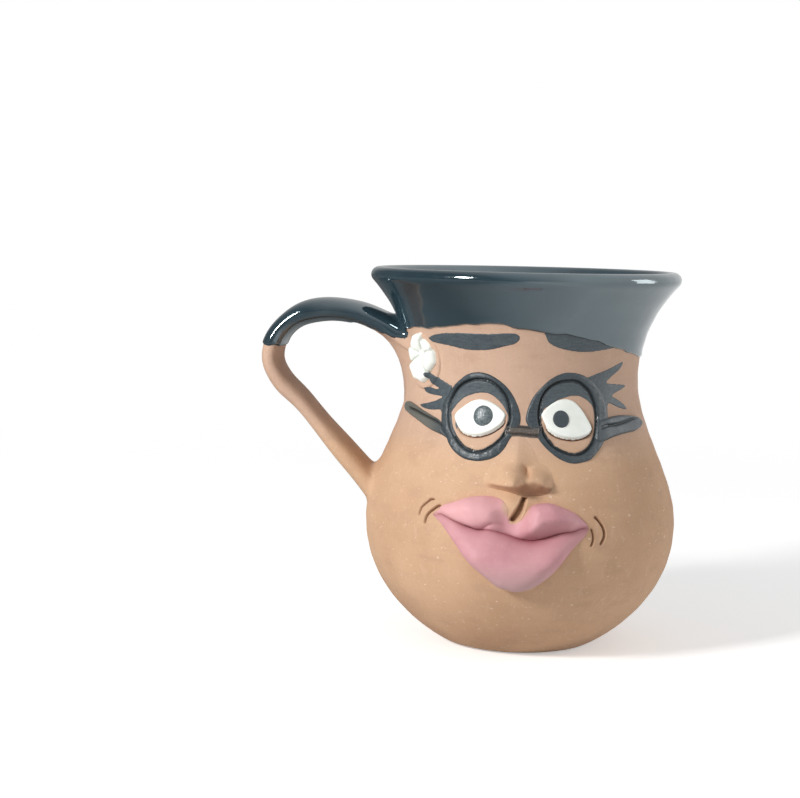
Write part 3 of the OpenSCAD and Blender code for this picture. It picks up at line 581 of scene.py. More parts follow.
RIGHT_RIM_IN = smooth_line([
    (23.1, 73.1), (17.9, 72.8), (13.7, 71.8), (10.9, 70.3), (8.9, 68.1), (7.8, 65.5), (8.0, 62.9),
    (9.1, 60.8), (10.8, 58.7), (13.6, 56.8), (17.2, 55.5), (21.2, 54.8), (25.0, 54.9),
    (28.6, 55.9), (31.7, 57.5), (34.1, 59.8), (35.6, 62.3), (36.1, 64.9), (35.4, 67.5),
    (33.5, 69.9), (30.0, 71.8), (26.7, 72.8),
], closed=True, fine=5)
RIGHT_RIM_OUT = smooth_line([
    (2.0, 62.9), (2.3, 64.9), (3.8, 67.4), (6.0, 69.5), (9.0, 71.4), (12.4, 73.1), (16.3, 74.4),
    (20.3, 75.1), (24.4, 75.1), (28.8, 74.6), (33.1, 73.5), (37.1, 71.9), (40.6, 69.7),
    (42.9, 67.4), (43.3, 65.1), (42.6, 62.6), (41.3, 60.6), (38.7, 58.2), (35.6, 56.2),
    (32.4, 54.7), (29.2, 53.4), (25.2, 52.8), (21.6, 52.6), (18.2, 53.1), (15.0, 54.1),
    (11.7, 55.7), (9.1, 57.3), (7.1, 58.9), (4.3, 60.7),
], closed=True, fine=4)
LEFT_WHITE = smooth_line([
    (-31.6, 63.1), (-30.5, 64.4), (-28.2, 65.5), (-25.1, 66.8), (-22.0, 67.6), (-18.8, 67.8),
    (-15.6, 67.5), (-12.4, 66.8), (-9.6, 65.8), (-7.3, 64.5), (-7.5, 63.3), (-8.7, 62.0),
    (-11.5, 60.7), (-14.2, 59.8), (-17.7, 59.1), (-21.1, 58.9), (-24.6, 59.2), (-27.7, 60.1),
    (-30.1, 61.6),
], closed=True)
RIGHT_WHITE = smooth_line([
    (9.1, 64.5), (10.5, 65.7), (13.5, 67.1), (16.7, 68.0), (20.2, 68.4), (23.5, 68.1),
    (26.3, 67.1), (29.0, 65.2), (31.1, 63.1), (32.4, 61.1), (30.7, 59.8), (27.6, 59.1),
    (24.0, 58.7), (20.6, 58.8), (17.3, 59.2), (14.2, 60.0), (11.7, 61.3), (10.0, 63.1),
], closed=True)
SLIT_LEFT = smooth_line([
    (2.2, 46.4), (1.5, 45.2), (0.6, 43.8), (-0.3, 42.4), (-1.5, 41.0), (-2.7, 39.7), (-3.3, 38.9),
])
SLIT_RIGHT = smooth_line([
    (3.2, 46.4), (3.2, 44.8), (2.7, 43.0), (2.1, 41.3), (1.2, 39.8), (-0.9, 38.3),
])
SMILE_LINES = [
    # Half width, depth, and the places along the line
    (0.25, 1.0, [
        (-31.5, 42.5), (-33.8, 42.4), (-34.9, 41.7), (-36.1, 41.0), (-37.1, 40.2), (-37.6, 39.1),
        (-37.9, 37.6),
    ]),
    (0.31, 1.0, [
        (-28.6, 41.4), (-30.4, 40.9), (-31.8, 40.1), (-33.3, 39.2), (-34.3, 38.2), (-34.8, 36.9),
        (-34.8, 35.9),
    ]),
    (0.29, 1.0, [
        (25.9, 37.0), (26.6, 35.8), (26.8, 34.4), (26.5, 33.2), (25.8, 32.1),
    ]),
    (0.37, 1.1, [
        (27.2, 39.9), (28.8, 39.1), (30.3, 37.7), (31.2, 36.2), (31.2, 34.7), (30.4, 33.4),
        (29.3, 32.2),
    ]),
]
print("drawn on the pot:", len(SMILE_LINES), "smile lines, the slit, two rims and two eyes")


# %% Carve the face into the wall
FACE_HALF, MOUTH_ZONE, LENS_ZONE = 45, (28, 48), (50, 77)


def swelling(phi, z):
    """The soft mound of clay that the slit and the lips were worked from."""
    x, _ = flat(phi, z)
    return 1.9 * np.exp(-(((x + 1.2) / 4.2) ** 2) - ((z - 42.0) / 2.7) ** 2)


def pressed_rings(phi, z, deep=0.9, half=0.3):
    """The round groove that a tube left along the inner edge of each rim."""
    near = [np.abs(depth_inside(line, phi, z)) for line in (LEFT_RIM_IN, RIGHT_RIM_IN)]
    return -deep * crest(np.minimum(*near), half)


def smile_cut(phi, z):
    """How far the pin pressed in, with a small burr beside it, and how much shade to paint in it.
    """
    lift, dark = np.zeros(phi.shape), np.zeros(phi.shape)
    for half, deep, places in SMILE_LINES:
        distance, share = line_distance(smooth_line(places), phi, z)
        taper = eased(share, 0, 0.12) * eased(1 - share, 0, 0.16)
        groove = np.exp(-((distance / half) ** 2) * 1.6) * taper
        burr = crest(distance - 1.7 * half, 0.6 * half) * taper
        lift += -deep * groove + 0.1 * deep * burr
        dark = np.maximum(dark, groove)
    return lift, dark


def slit_cut(phi, z):
    """A wedge cut in deeper and deeper towards its left side, with shade painted in it, most by
    that side.
    """
    inside = depth_inside(np.concatenate([SLIT_LEFT, SLIT_RIGHT[::-1]]), phi, z)
    from_left, _ = line_distance(SLIT_LEFT, phi, z)
    from_right, _ = line_distance(SLIT_RIGHT, phi, z)
    slant = from_right / (from_left + from_right + 1e-6)
    lift = np.where(inside > 0, -3.0 * slant * rounded(inside, 0.4), 0)
    return lift, eased(inside, 0, 0.3) * (0.2 + 0.6 * slant)


def carved(phi, z):
    """What was pushed in or raised on the face, as lifts off the turned wall, and how much shade to
    paint in each cut.
    """
    lift, dark = np.zeros(phi.shape), np.zeros(phi.shape)
    mouth, lenses = (
        (np.abs(phi) < FACE_HALF) & (z > low) & (z < high) for low, high in (MOUTH_ZONE, LENS_ZONE)
    )
    p, h = phi[mouth], z[mouth]
    (smile, smile_dark), (slit, slit_dark) = smile_cut(p, h), slit_cut(p, h)
    lift[mouth] = swelling(p, h) + smile + slit
    dark[mouth] = np.maximum(smile_dark, slit_dark)
    p, h = phi[lenses], z[lenses]
    lift[lenses] = pressed_rings(p, h, deep=1.0)
    for white in (LEFT_WHITE, RIGHT_WHITE):
        # A nail run under each white left it a sharp, shadowed lower edge, with shade painted in
        # the groove
        below = eased(white[:, 1].mean() - h, 0.0, 2.0) * eased(p - white[:, 0].min(), 0.3, 4.5)
        nail = below * crest(depth_inside(white, p, h) + 0.3, 0.32)
        lift[lenses] -= 1.1 * nail
        dark[lenses] = np.maximum(dark[lenses], nail)
    return lift, dark


# %% Skins turned on the wheel
def stepped_places(*stretches):
    """Places from stretches of (start, end, step)."""
    return np.unique(np.concatenate([np.arange(a, b + s / 2, s).round(4) for a, b, s in stretches]))


def lip_arc(coat):
    """Radius and height round the lip, from its outer start to its inner end."""
    angles = -LIP_LEAN + np.pi * np.arange(15) / 14
    size = LIP_HALF + coat
    return LIP_MID_R + size * np.cos(angles), LIP_MID_Z + size * np.sin(angles)


def inner_side(coat):
    """Radius and height down the inside, square to the outer wall by its thickness."""
    z = np.concatenate([np.linspace(FLARE_Z, 12, 60)[1:], np.linspace(12, 3, 12)[1:]])
    slope = wall_slope(z)
    length = np.sqrt(1 + slope**2)
    off = WALL_T + (LIP_T - WALL_T) * z / FLARE_Z + coat
    radius, height = wall_radius(z) - off / length, z + off * slope / length
    keep = height > FLOOR_T + 1.2
    return radius[keep], height[keep]


def floor_rows(coat, radius, height):
    """The rounded corner and the floor, to a small ring at the middle."""
    t = np.linspace(0, 1, 10)[1:]
    corner_r, corner_z = FOOT_R - WALL_T - 1, FLOOR_T + coat
    r = (1 - t) ** 2 * radius + 2 * t * (1 - t) * (corner_r + 2.2) + t**2 * corner_r
    z = (1 - t) ** 2 * height + 2 * t * (1 - t) * corner_z + t**2 * corner_z
    inward = np.linspace(corner_r, 0.4, 9)[1:]
    return np.concatenate([r, inward]), np.concatenate([z, np.full(8, corner_z)])


def turned_skin(rows_r, rows_z, columns):
    """Rows of radius and height turned round the axis, uneven as the wall is."""
    phi, z = np.meshgrid(columns, rows_z)
    radius = np.repeat(rows_r[:, None], len(columns), 1)
    return turned(radius + unevenness(phi, z) * np.clip(radius / 12, 0, 1), phi, z)


def lining(coat, columns):
    """The skin over the lip, down the inside and across the floor, under a coat or bare."""
    (lip_r, lip_z), (side_r, side_z) = lip_arc(coat), inner_side(coat)
    bowl_r, bowl_z = floor_rows(coat, side_r[-1], side_z[-1])
    rows_r = np.concatenate([lip_r[1:], side_r, bowl_r])
    return turned_skin(rows_r, np.concatenate([lip_z[1:], side_z, bowl_z]), columns)


def fan(first, count, middle):
    """Triangles from a ring of points to a middle one, written with that corner doubled."""
    ring = first + np.arange(count)
    return np.stack([ring, np.roll(ring, -1), np.full(count, middle), np.full(count, middle)], -1)


# %% Throw the pot
POT_COLUMNS = stepped_places((-180, -44, 2.5), (-44, 44, 0.3), (44, 180, 2.5))[:-1]
POT_ROWS = stepped_places(
    (0, 4, 0.5), (4, 30, 1.3), (30, 46.6, 0.2), (46.6, 53, 0.7), (53, 75, 0.26), (75, FLARE_Z, 1.3)
)
UNDER_FOOT = np.array([
    # Radius and height of the rings under the foot, from the middle out
    (0.4, 0.55), (6, 0.55), (12, 0.5), (15, 0.35), (16.4, 0.12), (17.4, 0.0), (18.2, 0.0),
    (18.75, 0.06),
])


def throw_pot():
    phi, z = np.meshgrid(POT_COLUMNS, POT_ROWS)
    lift, dark = carved(phi, z)
    outside = on_wall(phi, z, lift)
    outside[0, :, 2] = 0.25
    under = turned_skin(*UNDER_FOOT.T, POT_COLUMNS)
    points = np.concatenate([under, outside, lining(0, POT_COLUMNS)])
    count, wide = points.shape[:2]
    last = count * wide
    # Painted shade for the carved face; none under the foot, on the lip or inside
    cut = np.zeros(last + 2)
    cut[len(under) * wide :][: dark.size] = dark.ravel()
    # The fan under the foot looks down, so its corners are listed the other way round
    under_fan, floor_fan = fan(0, wide, last)[:, [2, 1, 0, 0]], fan(last - wide, wide, last + 1)
    fans = np.stack([under_fan, floor_fan], 1).reshape(-1, 4)
    faces = np.concatenate([grid_faces(count, wide, around=True), fans])
    middles = [points[0].mean(0), points[-1].mean(0)]
    return np.concatenate([points.reshape(-1, 3), middles]), faces, cut


pot_points, pot_faces, pot_shade = throw_pot()
clay_piece("thrown_pot", pot_points, pot_faces, bare_clay, "bare_clay", "vessel", cut=pot_shade)

# %% [markdown]
# The dip of glaze
#
# The mug was held by the foot and dipped lip down. The coat's lower edge wanders and stands
# proud as a soft bead; over the brow it was wiped up to a parting. The sheet starts just under
# the clay at that edge, swells, runs up, rolls over the lip and lines the whole inside.

# %% Dip the glaze
HAIRLINE = smooth_line([
    (-180, 78.0), (-150, 77.6), (-120, 78.2), (-98, 78.8), (-90, 79.3), (-84, 80.8), (-77.9, 83.0),
    (-70, 84.2), (-62.8, 84.7), (-53.8, 85.2), (-46.1, 85.1), (-36.1, 86.0), (-26.8, 86.6),
    (-18.5, 87.1), (-12.4, 87.2), (-8.0, 87.0), (-3.6, 86.4), (0.9, 85.9), (5.3, 85.6),
    (9.6, 85.2), (16, 84.9), (24, 84.3), (32.6, 83.3), (40, 82.2), (45.7, 81.4), (51.8, 80.7),
    (60.4, 79.7), (70.4, 78.7), (85.8, 77.7), (110, 77.4), (145, 78.3), (180, 78.0),
])
BEAD = np.array([
    # Height above the coat's edge, and lift off the wall
    (0, -0.12), (0.05, 0.1), (0.12, 0.24), (0.25, 0.36), (0.45, 0.45), (0.75, 0.49),
    (1.15, 0.47), (1.7, 0.43), (2.4, 0.4),
])


def dip_glaze():
    columns = stepped_places((-180, -90, 3), (-90, 70, 0.75), (70, 180, 3))[:-1]
    turn = np.radians(columns)
    wander = 0.12 * np.sin(turn * 23) + 0.07 * np.sin(turn * 41 + 1)
    low = read_off(columns, HAIRLINE) + wander
    top_of_bead = BEAD[-1, 0]
    climb = np.linspace(0, 1, 26)[1:, None]
    rows_z = [low + BEAD[:, :1], low + top_of_bead + (FLARE_Z - low - top_of_bead) * climb]
    lifts = np.append(BEAD[:, 1], np.full(len(climb), GLAZE_T))
    phi = np.repeat(columns[None], len(lifts), 0)
    outside = on_wall(phi, np.concatenate(rows_z), lifts[:, None])
    points = np.concatenate([outside, lining(GLAZE_T, columns)])
    count, wide = points.shape[:2]
    last = count * wide
    faces = np.concatenate([grid_faces(count, wide, around=True), fan(last - wide, wide, last)])
    return np.concatenate([points.reshape(-1, 3), [points[-1].mean(0)]]), faces


clay_piece("dipped_glaze", *dip_glaze(), black_glaze, "black_glaze", "vessel_glaze")

# %% [markdown]
# Relief laid on the wall
#
# Lips, eyes, spectacles and slip all lie on the wall. Each is a fine sheet over it, lifted by a
# height that depends on the distance from its outline, and sinking into the wall outside it.
# Cells that lie wholly under the wall are dropped, so only the modelled clay is left.

# %% Lay relief on the wall
SUNK = -0.4
MARGIN = 1.2


def relief(
    name, outline, cell, height, finish, slot, node_name, rows=None, lifted=on_wall, cut=None
):
    """A sheet with cells of about cell mm over the outline's window, raised by height(phi, z)."""
    (p0, z0), (p1, z1) = np.min(outline, axis=0), np.max(outline, axis=0)
    z0, z1 = z0 - MARGIN, z1 + MARGIN
    middle = float(wall_radius((z0 + z1) / 2))
    side = math.degrees(MARGIN / middle)
    p0, p1 = p0 - side, p1 + side
    up = np.linspace(z0, z1, int((z1 - z0) / cell) + 2) if rows is None else rows
    columns = int(math.radians(p1 - p0) * middle / cell) + 2
    phi, z = np.meshgrid(np.linspace(p0, p1, columns), up)
    lift = np.maximum(height(phi, z), SUNK)
    faces = grid_faces(len(up), columns)
    shown = lift.ravel()[faces].max(1) > SUNK + 0.05
    dark = cut(phi, z) if cut else None
    clay_piece(name, lifted(phi, z, lift), faces[shown], finish, slot, node_name, cut=dark)


def edged(depth, thick, run, fall=2.5, base=0.0, lowest=SUNK):
    """A rounded edge of a thickness inside an outline, and a fall under the wall outside it."""
    return np.where(
        depth > 0, base + thick * rounded(depth, run), np.maximum(base + depth * fall, lowest)
    )


# %% [markdown]
# Nose
#
# The nose was pinched out of the wall between finger and thumb: a ridge from between the eyes
# that swells into a tip, with a steep underside. The right wing was pressed in with a nail,
# which left a nick beside the ridge. Tent, tip and wings are separate mounds, joined by a sum
# of cubes that keeps the highest of them and softens where they meet.

# %% Pinch the nose
NOSE_WINDOW = [(-13.5, 44.6), (13.0, 60.0)]
NOSE_ROWS = stepped_places((43.4, 49.6, 0.1), (49.6, 60.8, 0.3))
NOSE_BRIM = smooth_line([
    (-15, 47.9), (-12.1, 47.8), (-8.7, 47.8), (-5.9, 47.8), (-3.6, 47.9), (-2.1, 48.0),
    (-0.6, 48.2), (1.1, 48.6), (3.0, 49.1), (5.5, 49.3), (7.5, 48.7), (9.5, 47.7), (15, 46.8),
])
NOSE_BASE = smooth_line([
    (-15, 47.0), (-12.2, 46.5), (-9.1, 46.2), (-6.3, 45.9), (-4.0, 45.6), (-2.3, 45.4),
    (-0.7, 44.9), (1.3, 44.5), (3.0, 44.3), (5.5, 44.3), (7.5, 44.4), (9.5, 44.6), (15, 45.2),
])
NICK = smooth_line([(0.2, 52.9), (0.9, 52.2), (1.7, 51.5), (2.6, 50.8), (3.5, 50.3), (4.2, 50.1)])
RIDGE_HIGH = [
    # Height on the wall, and how far the ridge stands out there
    (44, 5.0), (47.6, 5.2), (49, 5.2), (50, 4.4), (51, 3.5), (52, 2.7), (54, 1.55), (56, 0.8),
    (58, 0.3), (60, 0),
]
RIDGE_X = [(46, -1.5), (49.4, -1.3), (51, -1.1), (52.7, -0.9), (54.4, -0.7), (60, -0.5)]
LEFT_FOOT = [(44, 7.0), (48, 6.6), (50, 5.8), (52, 4.8), (54, 4.1), (56, 3.3), (60, 2.4)]
RIGHT_FOOT = [(44, 5.0), (48, 4.4), (49.4, 3.8), (51, 4.0), (53, 4.2), (56, 3.6), (60, 2.4)]


def mound(x, z, middle_x, middle_z, half_wide, half_high, high, firm=1.25):
    """A dab of clay: a dome on an oval; the firmer it is, the steeper its sides."""
    away = ((x - middle_x) / half_wide) ** 2 + ((z - middle_z) / half_high) ** 2
    return high * np.exp(-(away**firm) * 1.1)


def nose_height(phi, z):
    x, _ = flat(phi, z)
    right_of = x - read_off(z, RIDGE_X)
    across = np.where(
        right_of > 0, right_of / read_off(z, RIGHT_FOOT), -right_of / read_off(z, LEFT_FOOT)
    )
    tent = read_off(z, RIDGE_HIGH) * np.exp(-2.1 * across**1.6)
    tip = mound(x, z, -1.5, 49.1, 3.1, 2.9, 5.9)
    left_wing = mound(x, z, -5.0, 48.2, 3.2, 1.8, 1.9)
    right_wing = mound(x, z, 3.5, 48.2, 3.7, 3.2, 3.7, 1.7)
    whole = (tent**3 + tip**3 + left_wing**3 + right_wing**3 + 1e-9) ** (1 / 3)
    from_nick, along = line_distance(NICK, phi, z)
    nick = 1.8 * crest(from_nick, 0.72) * eased(along, 0, 0.7) * eased(1 - along, 0, 0.2)
    sides = eased(phi, -15.2, -11.0) * eased(-phi, -14.6, -10.5)
    under = eased(z, read_off(phi, NOSE_BASE), read_off(phi, NOSE_BRIM) + 0.1) ** 0.75
    body = (whole - nick) * sides * under
    on_swelling = body + swelling(phi, z) - 0.15 * (1 - eased(body, 0, 0.15))
    return np.where(body < 0.02, SUNK, on_swelling)


def nose_painted_shade(phi, z):
    """Painted shade: a line under the left wing, and all that lies under tip and right."""
    brim, base = read_off(phi, NOSE_BRIM), read_off(phi, NOSE_BASE)
    down = np.clip((brim - z) / (brim - base), 0, 1.5)
    right = eased(phi, -5, 2)
    line = 0.3 * eased(down, 0, 0.25) * (1 - eased(down, 0.3, 1)) * eased(phi, -13, -9)
    return (1 - right) * line + right * 0.62 * eased(down, 0, 0.3) * (1 - eased(down, 0.9, 1.2))


relief(
    "pinched_nose", NOSE_WINDOW, 0.2, nose_height, bare_clay, "bare_clay", "nose",
    rows=NOSE_ROWS, lifted=straight_out, cut=nose_painted_shade,
)

# %% [markdown]
# Lips
#
# Two rolls of clay, pressed on and painted. The upper one is full on both sides of the slit and
# sinks towards it, with a soft fold low on its left; the lower one is broad and comes to a
# chin-like point. Each is a dome with a rounded edge at its outline, which rounds down again to
# the line between the lips.

# %% Outlines of the lips
UPPER_EDGE = [
    (-32.3, 38.8), (-29.7, 40.2), (-28.0, 41.4), (-23.7, 42.5), (-18.5, 43.8), (-15.0, 44.3),
    (-11.9, 44.5), (-9.3, 44.4), (-7.5, 44.1), (-5.6, 43.4), (-4.3, 42.4), (-3.5, 41.2),
    (-3.5, 40.0), (-3.4, 39.0), (-2.6, 38.1), (-1.0, 38.2), (0.7, 38.9), (2.0, 40.0), (2.9, 41.2),
    (4.0, 42.1), (5.2, 42.7), (6.9, 43.0), (9.5, 43.2), (12.0, 43.0), (14.6, 42.4), (17.2, 41.7),
    (20.4, 40.6), (23.3, 38.8), (25.6, 37.2),
]
MEETING = [
    (-32.3, 38.8), (-28.6, 39.1), (-25.8, 38.6), (-23.3, 38.0), (-21.1, 37.5), (-18.5, 37.0),
    (-16.4, 36.7), (-14.2, 36.3), (-12.0, 36.3), (-10.0, 36.3), (-7.6, 36.1), (-5.2, 35.7),
    (-3.0, 35.3), (-1.0, 34.8), (1.3, 34.4), (4.4, 34.2), (6.7, 34.4), (9.0, 34.8), (11.3, 35.3),
    (13.6, 35.8), (16.0, 36.1), (18.1, 36.2), (20.1, 36.5), (22.0, 36.9), (25.6, 37.2),
]
LOWER_EDGE = [
    (-32.3, 38.8), (-28.6, 37.1), (-25.8, 35.2), (-23.4, 33.4), (-21.1, 31.5), (-18.5, 29.3),
    (-15.6, 27.3), (-13.1, 25.9), (-10.6, 24.5), (-8.6, 23.4), (-6.5, 22.4), (-4.4, 22.0),
    (-2.3, 21.6), (-0.6, 21.4), (1.0, 21.5), (3.1, 21.8), (5.2, 22.4), (7.6, 23.4), (9.9, 24.6),
    (12.2, 26.0), (14.2, 27.5), (16.1, 29.2), (17.9, 30.8), (19.9, 32.5), (21.8, 33.8),
    (23.6, 35.0), (25.6, 37.2),
]
FOLD = [
    (-13.4, 36.3), (-12.1, 36.6), (-11.3, 37.0), (-10.3, 37.5), (-8.8, 37.9), (-7.2, 38.0),
    (-5.6, 37.9),
]
upper_line, meeting_line, lower_line, fold_line = map(
    smooth_line, (UPPER_EDGE, MEETING, LOWER_EDGE, FOLD)
)
MOUTH_LEFT, MOUTH_RIGHT, SLIT_X = -22.8, 18.7, -1.6


def tapered(x, run):
    """1 over the middle of the mouth, easing to 0 at its corners."""
    return eased(np.minimum(x - MOUTH_LEFT, MOUTH_RIGHT - x), 0, run) ** 0.75


def mouth_valley(phi, z):
    """Distance above the line between the lips, in mm, and how high that line lies."""
    away, _ = line_distance(meeting_line, phi, z)
    above = np.where(z > read_off(phi, meeting_line), away, -away)
    return above, (0.5 + 1.3 * crest(phi + 9, 3.2)) * tapered(flat(phi, z)[0], 10)


def lip(inside, beyond, dome, floor, run):
    """A dome that rounds down to the line between the lips and dives under the other lip."""
    risen = floor + (np.maximum(dome, 0.05) - floor) * rounded(beyond, run)
    dives = (beyond > -0.6) & (beyond <= 0) & (floor > 0.05) & (inside > -0.7)
    body = np.where(beyond > 0, risen, floor + 2.2 * beyond)
    return np.where((inside > 0) | dives, body, SUNK)


print("the mouth is", MOUTH_RIGHT - MOUTH_LEFT, "mm wide, measured along the wall")


# %% Model the lips
def upper_lip_height(phi, z):
    x, _ = flat(phi, z)
    inside = depth_inside(np.concatenate([upper_line, meeting_line[::-1]]), phi, z)
    from_top, _ = line_distance(upper_line, phi, z)
    from_fold, along = line_distance(fold_line, phi, z)
    above, floor = mouth_valley(phi, z)
    down = from_top / (from_top + np.abs(above) + 1e-6)
    right = eased(x, -1, 3)
    dip = 2.3 * crest(x - SLIT_X, np.where(x < SLIT_X, 4.4, 3.2))
    full = (4.3 + 0.5 * right) * tapered(x, 12) - dip
    drop = 1 - (0.30 + 0.42 * right) * eased(down, 0.42 + 0.06 * right, 0.97)
    soft = 3.6 - 0.6 * right + 2.4 * crest(x + 4.5, 2.6)
    flowing = crest(x - SLIT_X, np.where(x < SLIT_X, 6.5, 4.6))
    edge_form = (1 - flowing) * rounded(from_top, soft) + flowing * eased(from_top, -0.3, 5.6)
    dome = full * edge_form * drop - 0.6 * crest(from_fold, 0.8) * eased(1 - along, 0, 0.6)
    under = (phi > -13.4) & (phi < -4.5) & (z < read_off(phi, fold_line))
    dome = dome - under * 0.4 * np.exp(-from_fold / 1.6) * eased(-4.5 - phi, 0, 6)
    dome = dome + 0.10 * ripple(phi, z, 7, 11) * rounded(from_top, 2)
    laid = lip(inside, above, dome, floor, 0.9)
    edge = np.maximum(inside * 2.5 + swelling(phi, z), SUNK)
    return np.where(laid > SUNK, laid + swelling(phi, z), np.where(above > 0, edge, SUNK))


def lower_lip_height(phi, z):
    x, _ = flat(phi, z)
    inside = depth_inside(np.concatenate([meeting_line, lower_line[::-1]]), phi, z)
    from_low, _ = line_distance(lower_line, phi, z)
    above, floor = mouth_valley(phi, z)
    full = 5.4 * tapered(x, 14)
    dome = full * rounded(from_low, 4.6) * (0.3 + 0.7 * eased(-above, -0.5, 6.5))
    dome = dome + 0.12 * ripple(phi, z, 9, 12) * rounded(from_low, 2)
    laid = lip(inside, -above, dome, floor, 2.0)
    return np.where(laid > SUNK, laid, np.where(above < 0, np.maximum(inside * 2.5, SUNK), SUNK))


def upper_lip_deep_and_shade(phi, z):
    """Deeper paint and painted shade close to the line between the lips, and painted shade in the
    fold.
    """
    x, _ = flat(phi, z)
    above, _ = mouth_valley(phi, z)
    from_fold, along = line_distance(fold_line, phi, z)
    wide = 0.5 + 1.9 * eased(x, -1, 3) * eased(14 - x, 0, 8)
    in_fold = 0.6 * crest(from_fold, 0.6) * (1 - 0.7 * along)
    return np.maximum(0.8 * np.exp(-np.abs(above) / wide), in_fold)


def lower_lip_deep_and_shade(phi, z):
    # Deeper paint and painted shade by the line between the lips, broadest right of the slit
    x, _ = flat(phi, z)
    away = np.abs(mouth_valley(phi, z)[0])
    deepest = 0.35 * crest(x - 3.5, 6.5) * np.exp(-away / 1.4)
    return 0.55 * np.exp(-away / 0.5) + 0.35 * np.exp(-away / 3.5) + deepest


for side, edges, cell, height, cut in (
    ("upper_lip", UPPER_EDGE + MEETING, 0.22, upper_lip_height, upper_lip_deep_and_shade),
    ("lower_lip", MEETING + LOWER_EDGE, 0.24, lower_lip_height, lower_lip_deep_and_shade),
):
    relief(side + "_roll", edges, cell, height, pink_paint, "pink_paint", side, cut=cut)

# %% [markdown]
# Eyes
#
# Each eye is a flattened almond of white clay, pressed on so that its rim stays crisp, with a
# dot of slip for the pupil: a shiny domed one on the left, a flat one on the right. The pupil
# rides on the white, so its height starts from the white's.

# %% Press on the eyes
def round_outline(phi, z, radius, squash=1.0):
    turns = np.radians(np.arange(0, 360, 10))
    wide = np.degrees(radius / float(wall_radius(z)))
    return np.stack([phi + wide * np.cos(turns), z + radius * squash * np.sin(turns)], -1)


def white_height(white, phi, z):
    return edged(depth_inside(white, phi, z), 0.6, 0.3) + 0.03 * ripple(phi, z, 4, 21)


def press_white(side, white):
    name, node_name = side + "_eye_almond", side + "_eye_white"
    height = functools.partial(white_height, white)
    relief(name, white, 0.18, height, white_clay, "white_clay", node_name)


def dot_pupil(side, white, pupil, thick, run, finish):
    """A dot of slip on a white; its round sheet ends inside the white."""
    centre, width = pupil.mean(0), np.ptp(pupil, axis=0) / 2
    share, turn = np.meshgrid(np.linspace(0, 1.06, 22), np.arange(0, 360, 6), indexing="ij")
    phi = centre[0] + width[0] * share * np.cos(np.radians(turn))
    z = centre[1] + width[1] * share * np.sin(np.radians(turn))
    dome = edged(depth_inside(pupil, phi, z), thick, run, lowest=-1.5)
    points = on_wall(phi, z, white_height(white, phi, z) + dome)
    faces = grid_faces(*share.shape, around=True)[:, ::-1]
    clay_piece(side + "_pupil_dot", points, faces, finish, "black_slip", side + "_pupil")


press_white("left", LEFT_WHITE)
press_white("right", RIGHT_WHITE)
left_pupil = round_outline(-17.3, 63.7, 2.55, 1.02)
right_pupil = round_outline(17.7, 63.4, 2.12, 1.03)
dot_pupil("left", LEFT_WHITE, left_pupil, thick=0.75, run=2.4, finish=glossy_pupil)
dot_pupil("right", RIGHT_WHITE, right_pupil, thick=0.28, run=0.5, finish=matt_pupil)

# %% [markdown]
# Spectacles
#
# Each rim is a band of clay that was pressed round a tube: a raised inner edge, and a broad
# outer slope that feathers onto the wall. The arms are double coils with a groove between, and
# a short bar bridges the rims. Heights across the band come from how far a place is from the
# inner and outer outlines.

# %% Model the rims
def rim_height(inner, outer, seed):
    def height(phi, z):
        from_inner, from_outer = -depth_inside(inner, phi, z), depth_inside(outer, phi, z)
        swell = 0.34 * rounded(from_outer, 1.3) * (1 + 0.25 * ripple(phi, z, 5, seed))
        body = 0.14 + swell + 0.05 * ripple(phi, z, 1.3, seed + 7)
        edge = np.minimum(from_inner + 0.42 + 0.08 * ripple(phi, z, 3, seed + 3), from_outer)
        sunk = np.maximum(edge * 2.5, SUNK)
        return np.where(edge > 0, body * rounded(from_outer, 0.35), sunk) + pressed_rings(phi, z)

    return height


def ring_groove_shade(phi, z):
    """1 along the pressed grooves and 0 half a millimetre away, where shade is painted."""
    return -pressed_rings(phi, z, deep=1.0, half=0.34)


for side, inner, outer, seed in (
    ("left", LEFT_RIM_IN, LEFT_RIM_OUT, 31), ("right", RIGHT_RIM_IN, RIGHT_RIM_OUT, 32),
):
    relief(
        side + "_spectacle_rim", outer, 0.2, rim_height(inner, outer, seed), spectacle_slip,
        "black_slip", side + "_lens_rim", cut=ring_groove_shade,
    )

# %% Model the arms and the bridge
LEFT_ARM = [
    (-34.5, 60.6), (-37.4, 61.1), (-41.3, 62.0), (-47.4, 62.9), (-54.4, 63.8), (-61.7, 64.7),
    (-68.5, 65.1), (-71.4, 64.6), (-71.6, 63.6), (-68.6, 62.5), (-64.2, 62.0), (-54.6, 60.9),
    (-47.3, 59.7), (-41.4, 58.8), (-36.3, 58.2), (-33.0, 57.6), (-31.5, 58.6),
]
LEFT_GROOVE = [
    (-33.5, 60.2), (-36.3, 60.6), (-41.0, 61.4), (-47.0, 62.1), (-55.1, 63.0), (-61.0, 63.4),
    (-67.1, 63.6),
]
RIGHT_ARM = [
    (36.0, 62.4), (39.0, 63.0), (41.5, 63.3), (47.6, 63.7), (53.8, 63.7), (62.6, 63.2),
    (68.0, 62.6), (70.8, 61.6), (71.2, 60.9), (66.7, 59.9), (60.4, 59.4), (52.0, 59.2),
    (44.9, 58.7), (39.7, 58.0), (35.3, 57.3), (33.5, 58.4),
]
RIGHT_GROOVE = [
    (37.0, 60.9), (40.3, 61.4), (45.3, 61.5), (51.3, 61.8), (58.5, 62.3), (66.8, 62.4),
]
BRIDGE = smooth_line([
    (-5.6, 61.6), (-3.0, 61.8), (0.0, 61.8), (4.0, 61.7), (8.4, 61.8), (9.0, 60.4), (8.2, 58.9),
    (4.0, 58.9), (0.0, 59.1), (-4.0, 59.1), (-6.6, 59.2), (-6.8, 60.4),
], closed=True, fine=4)


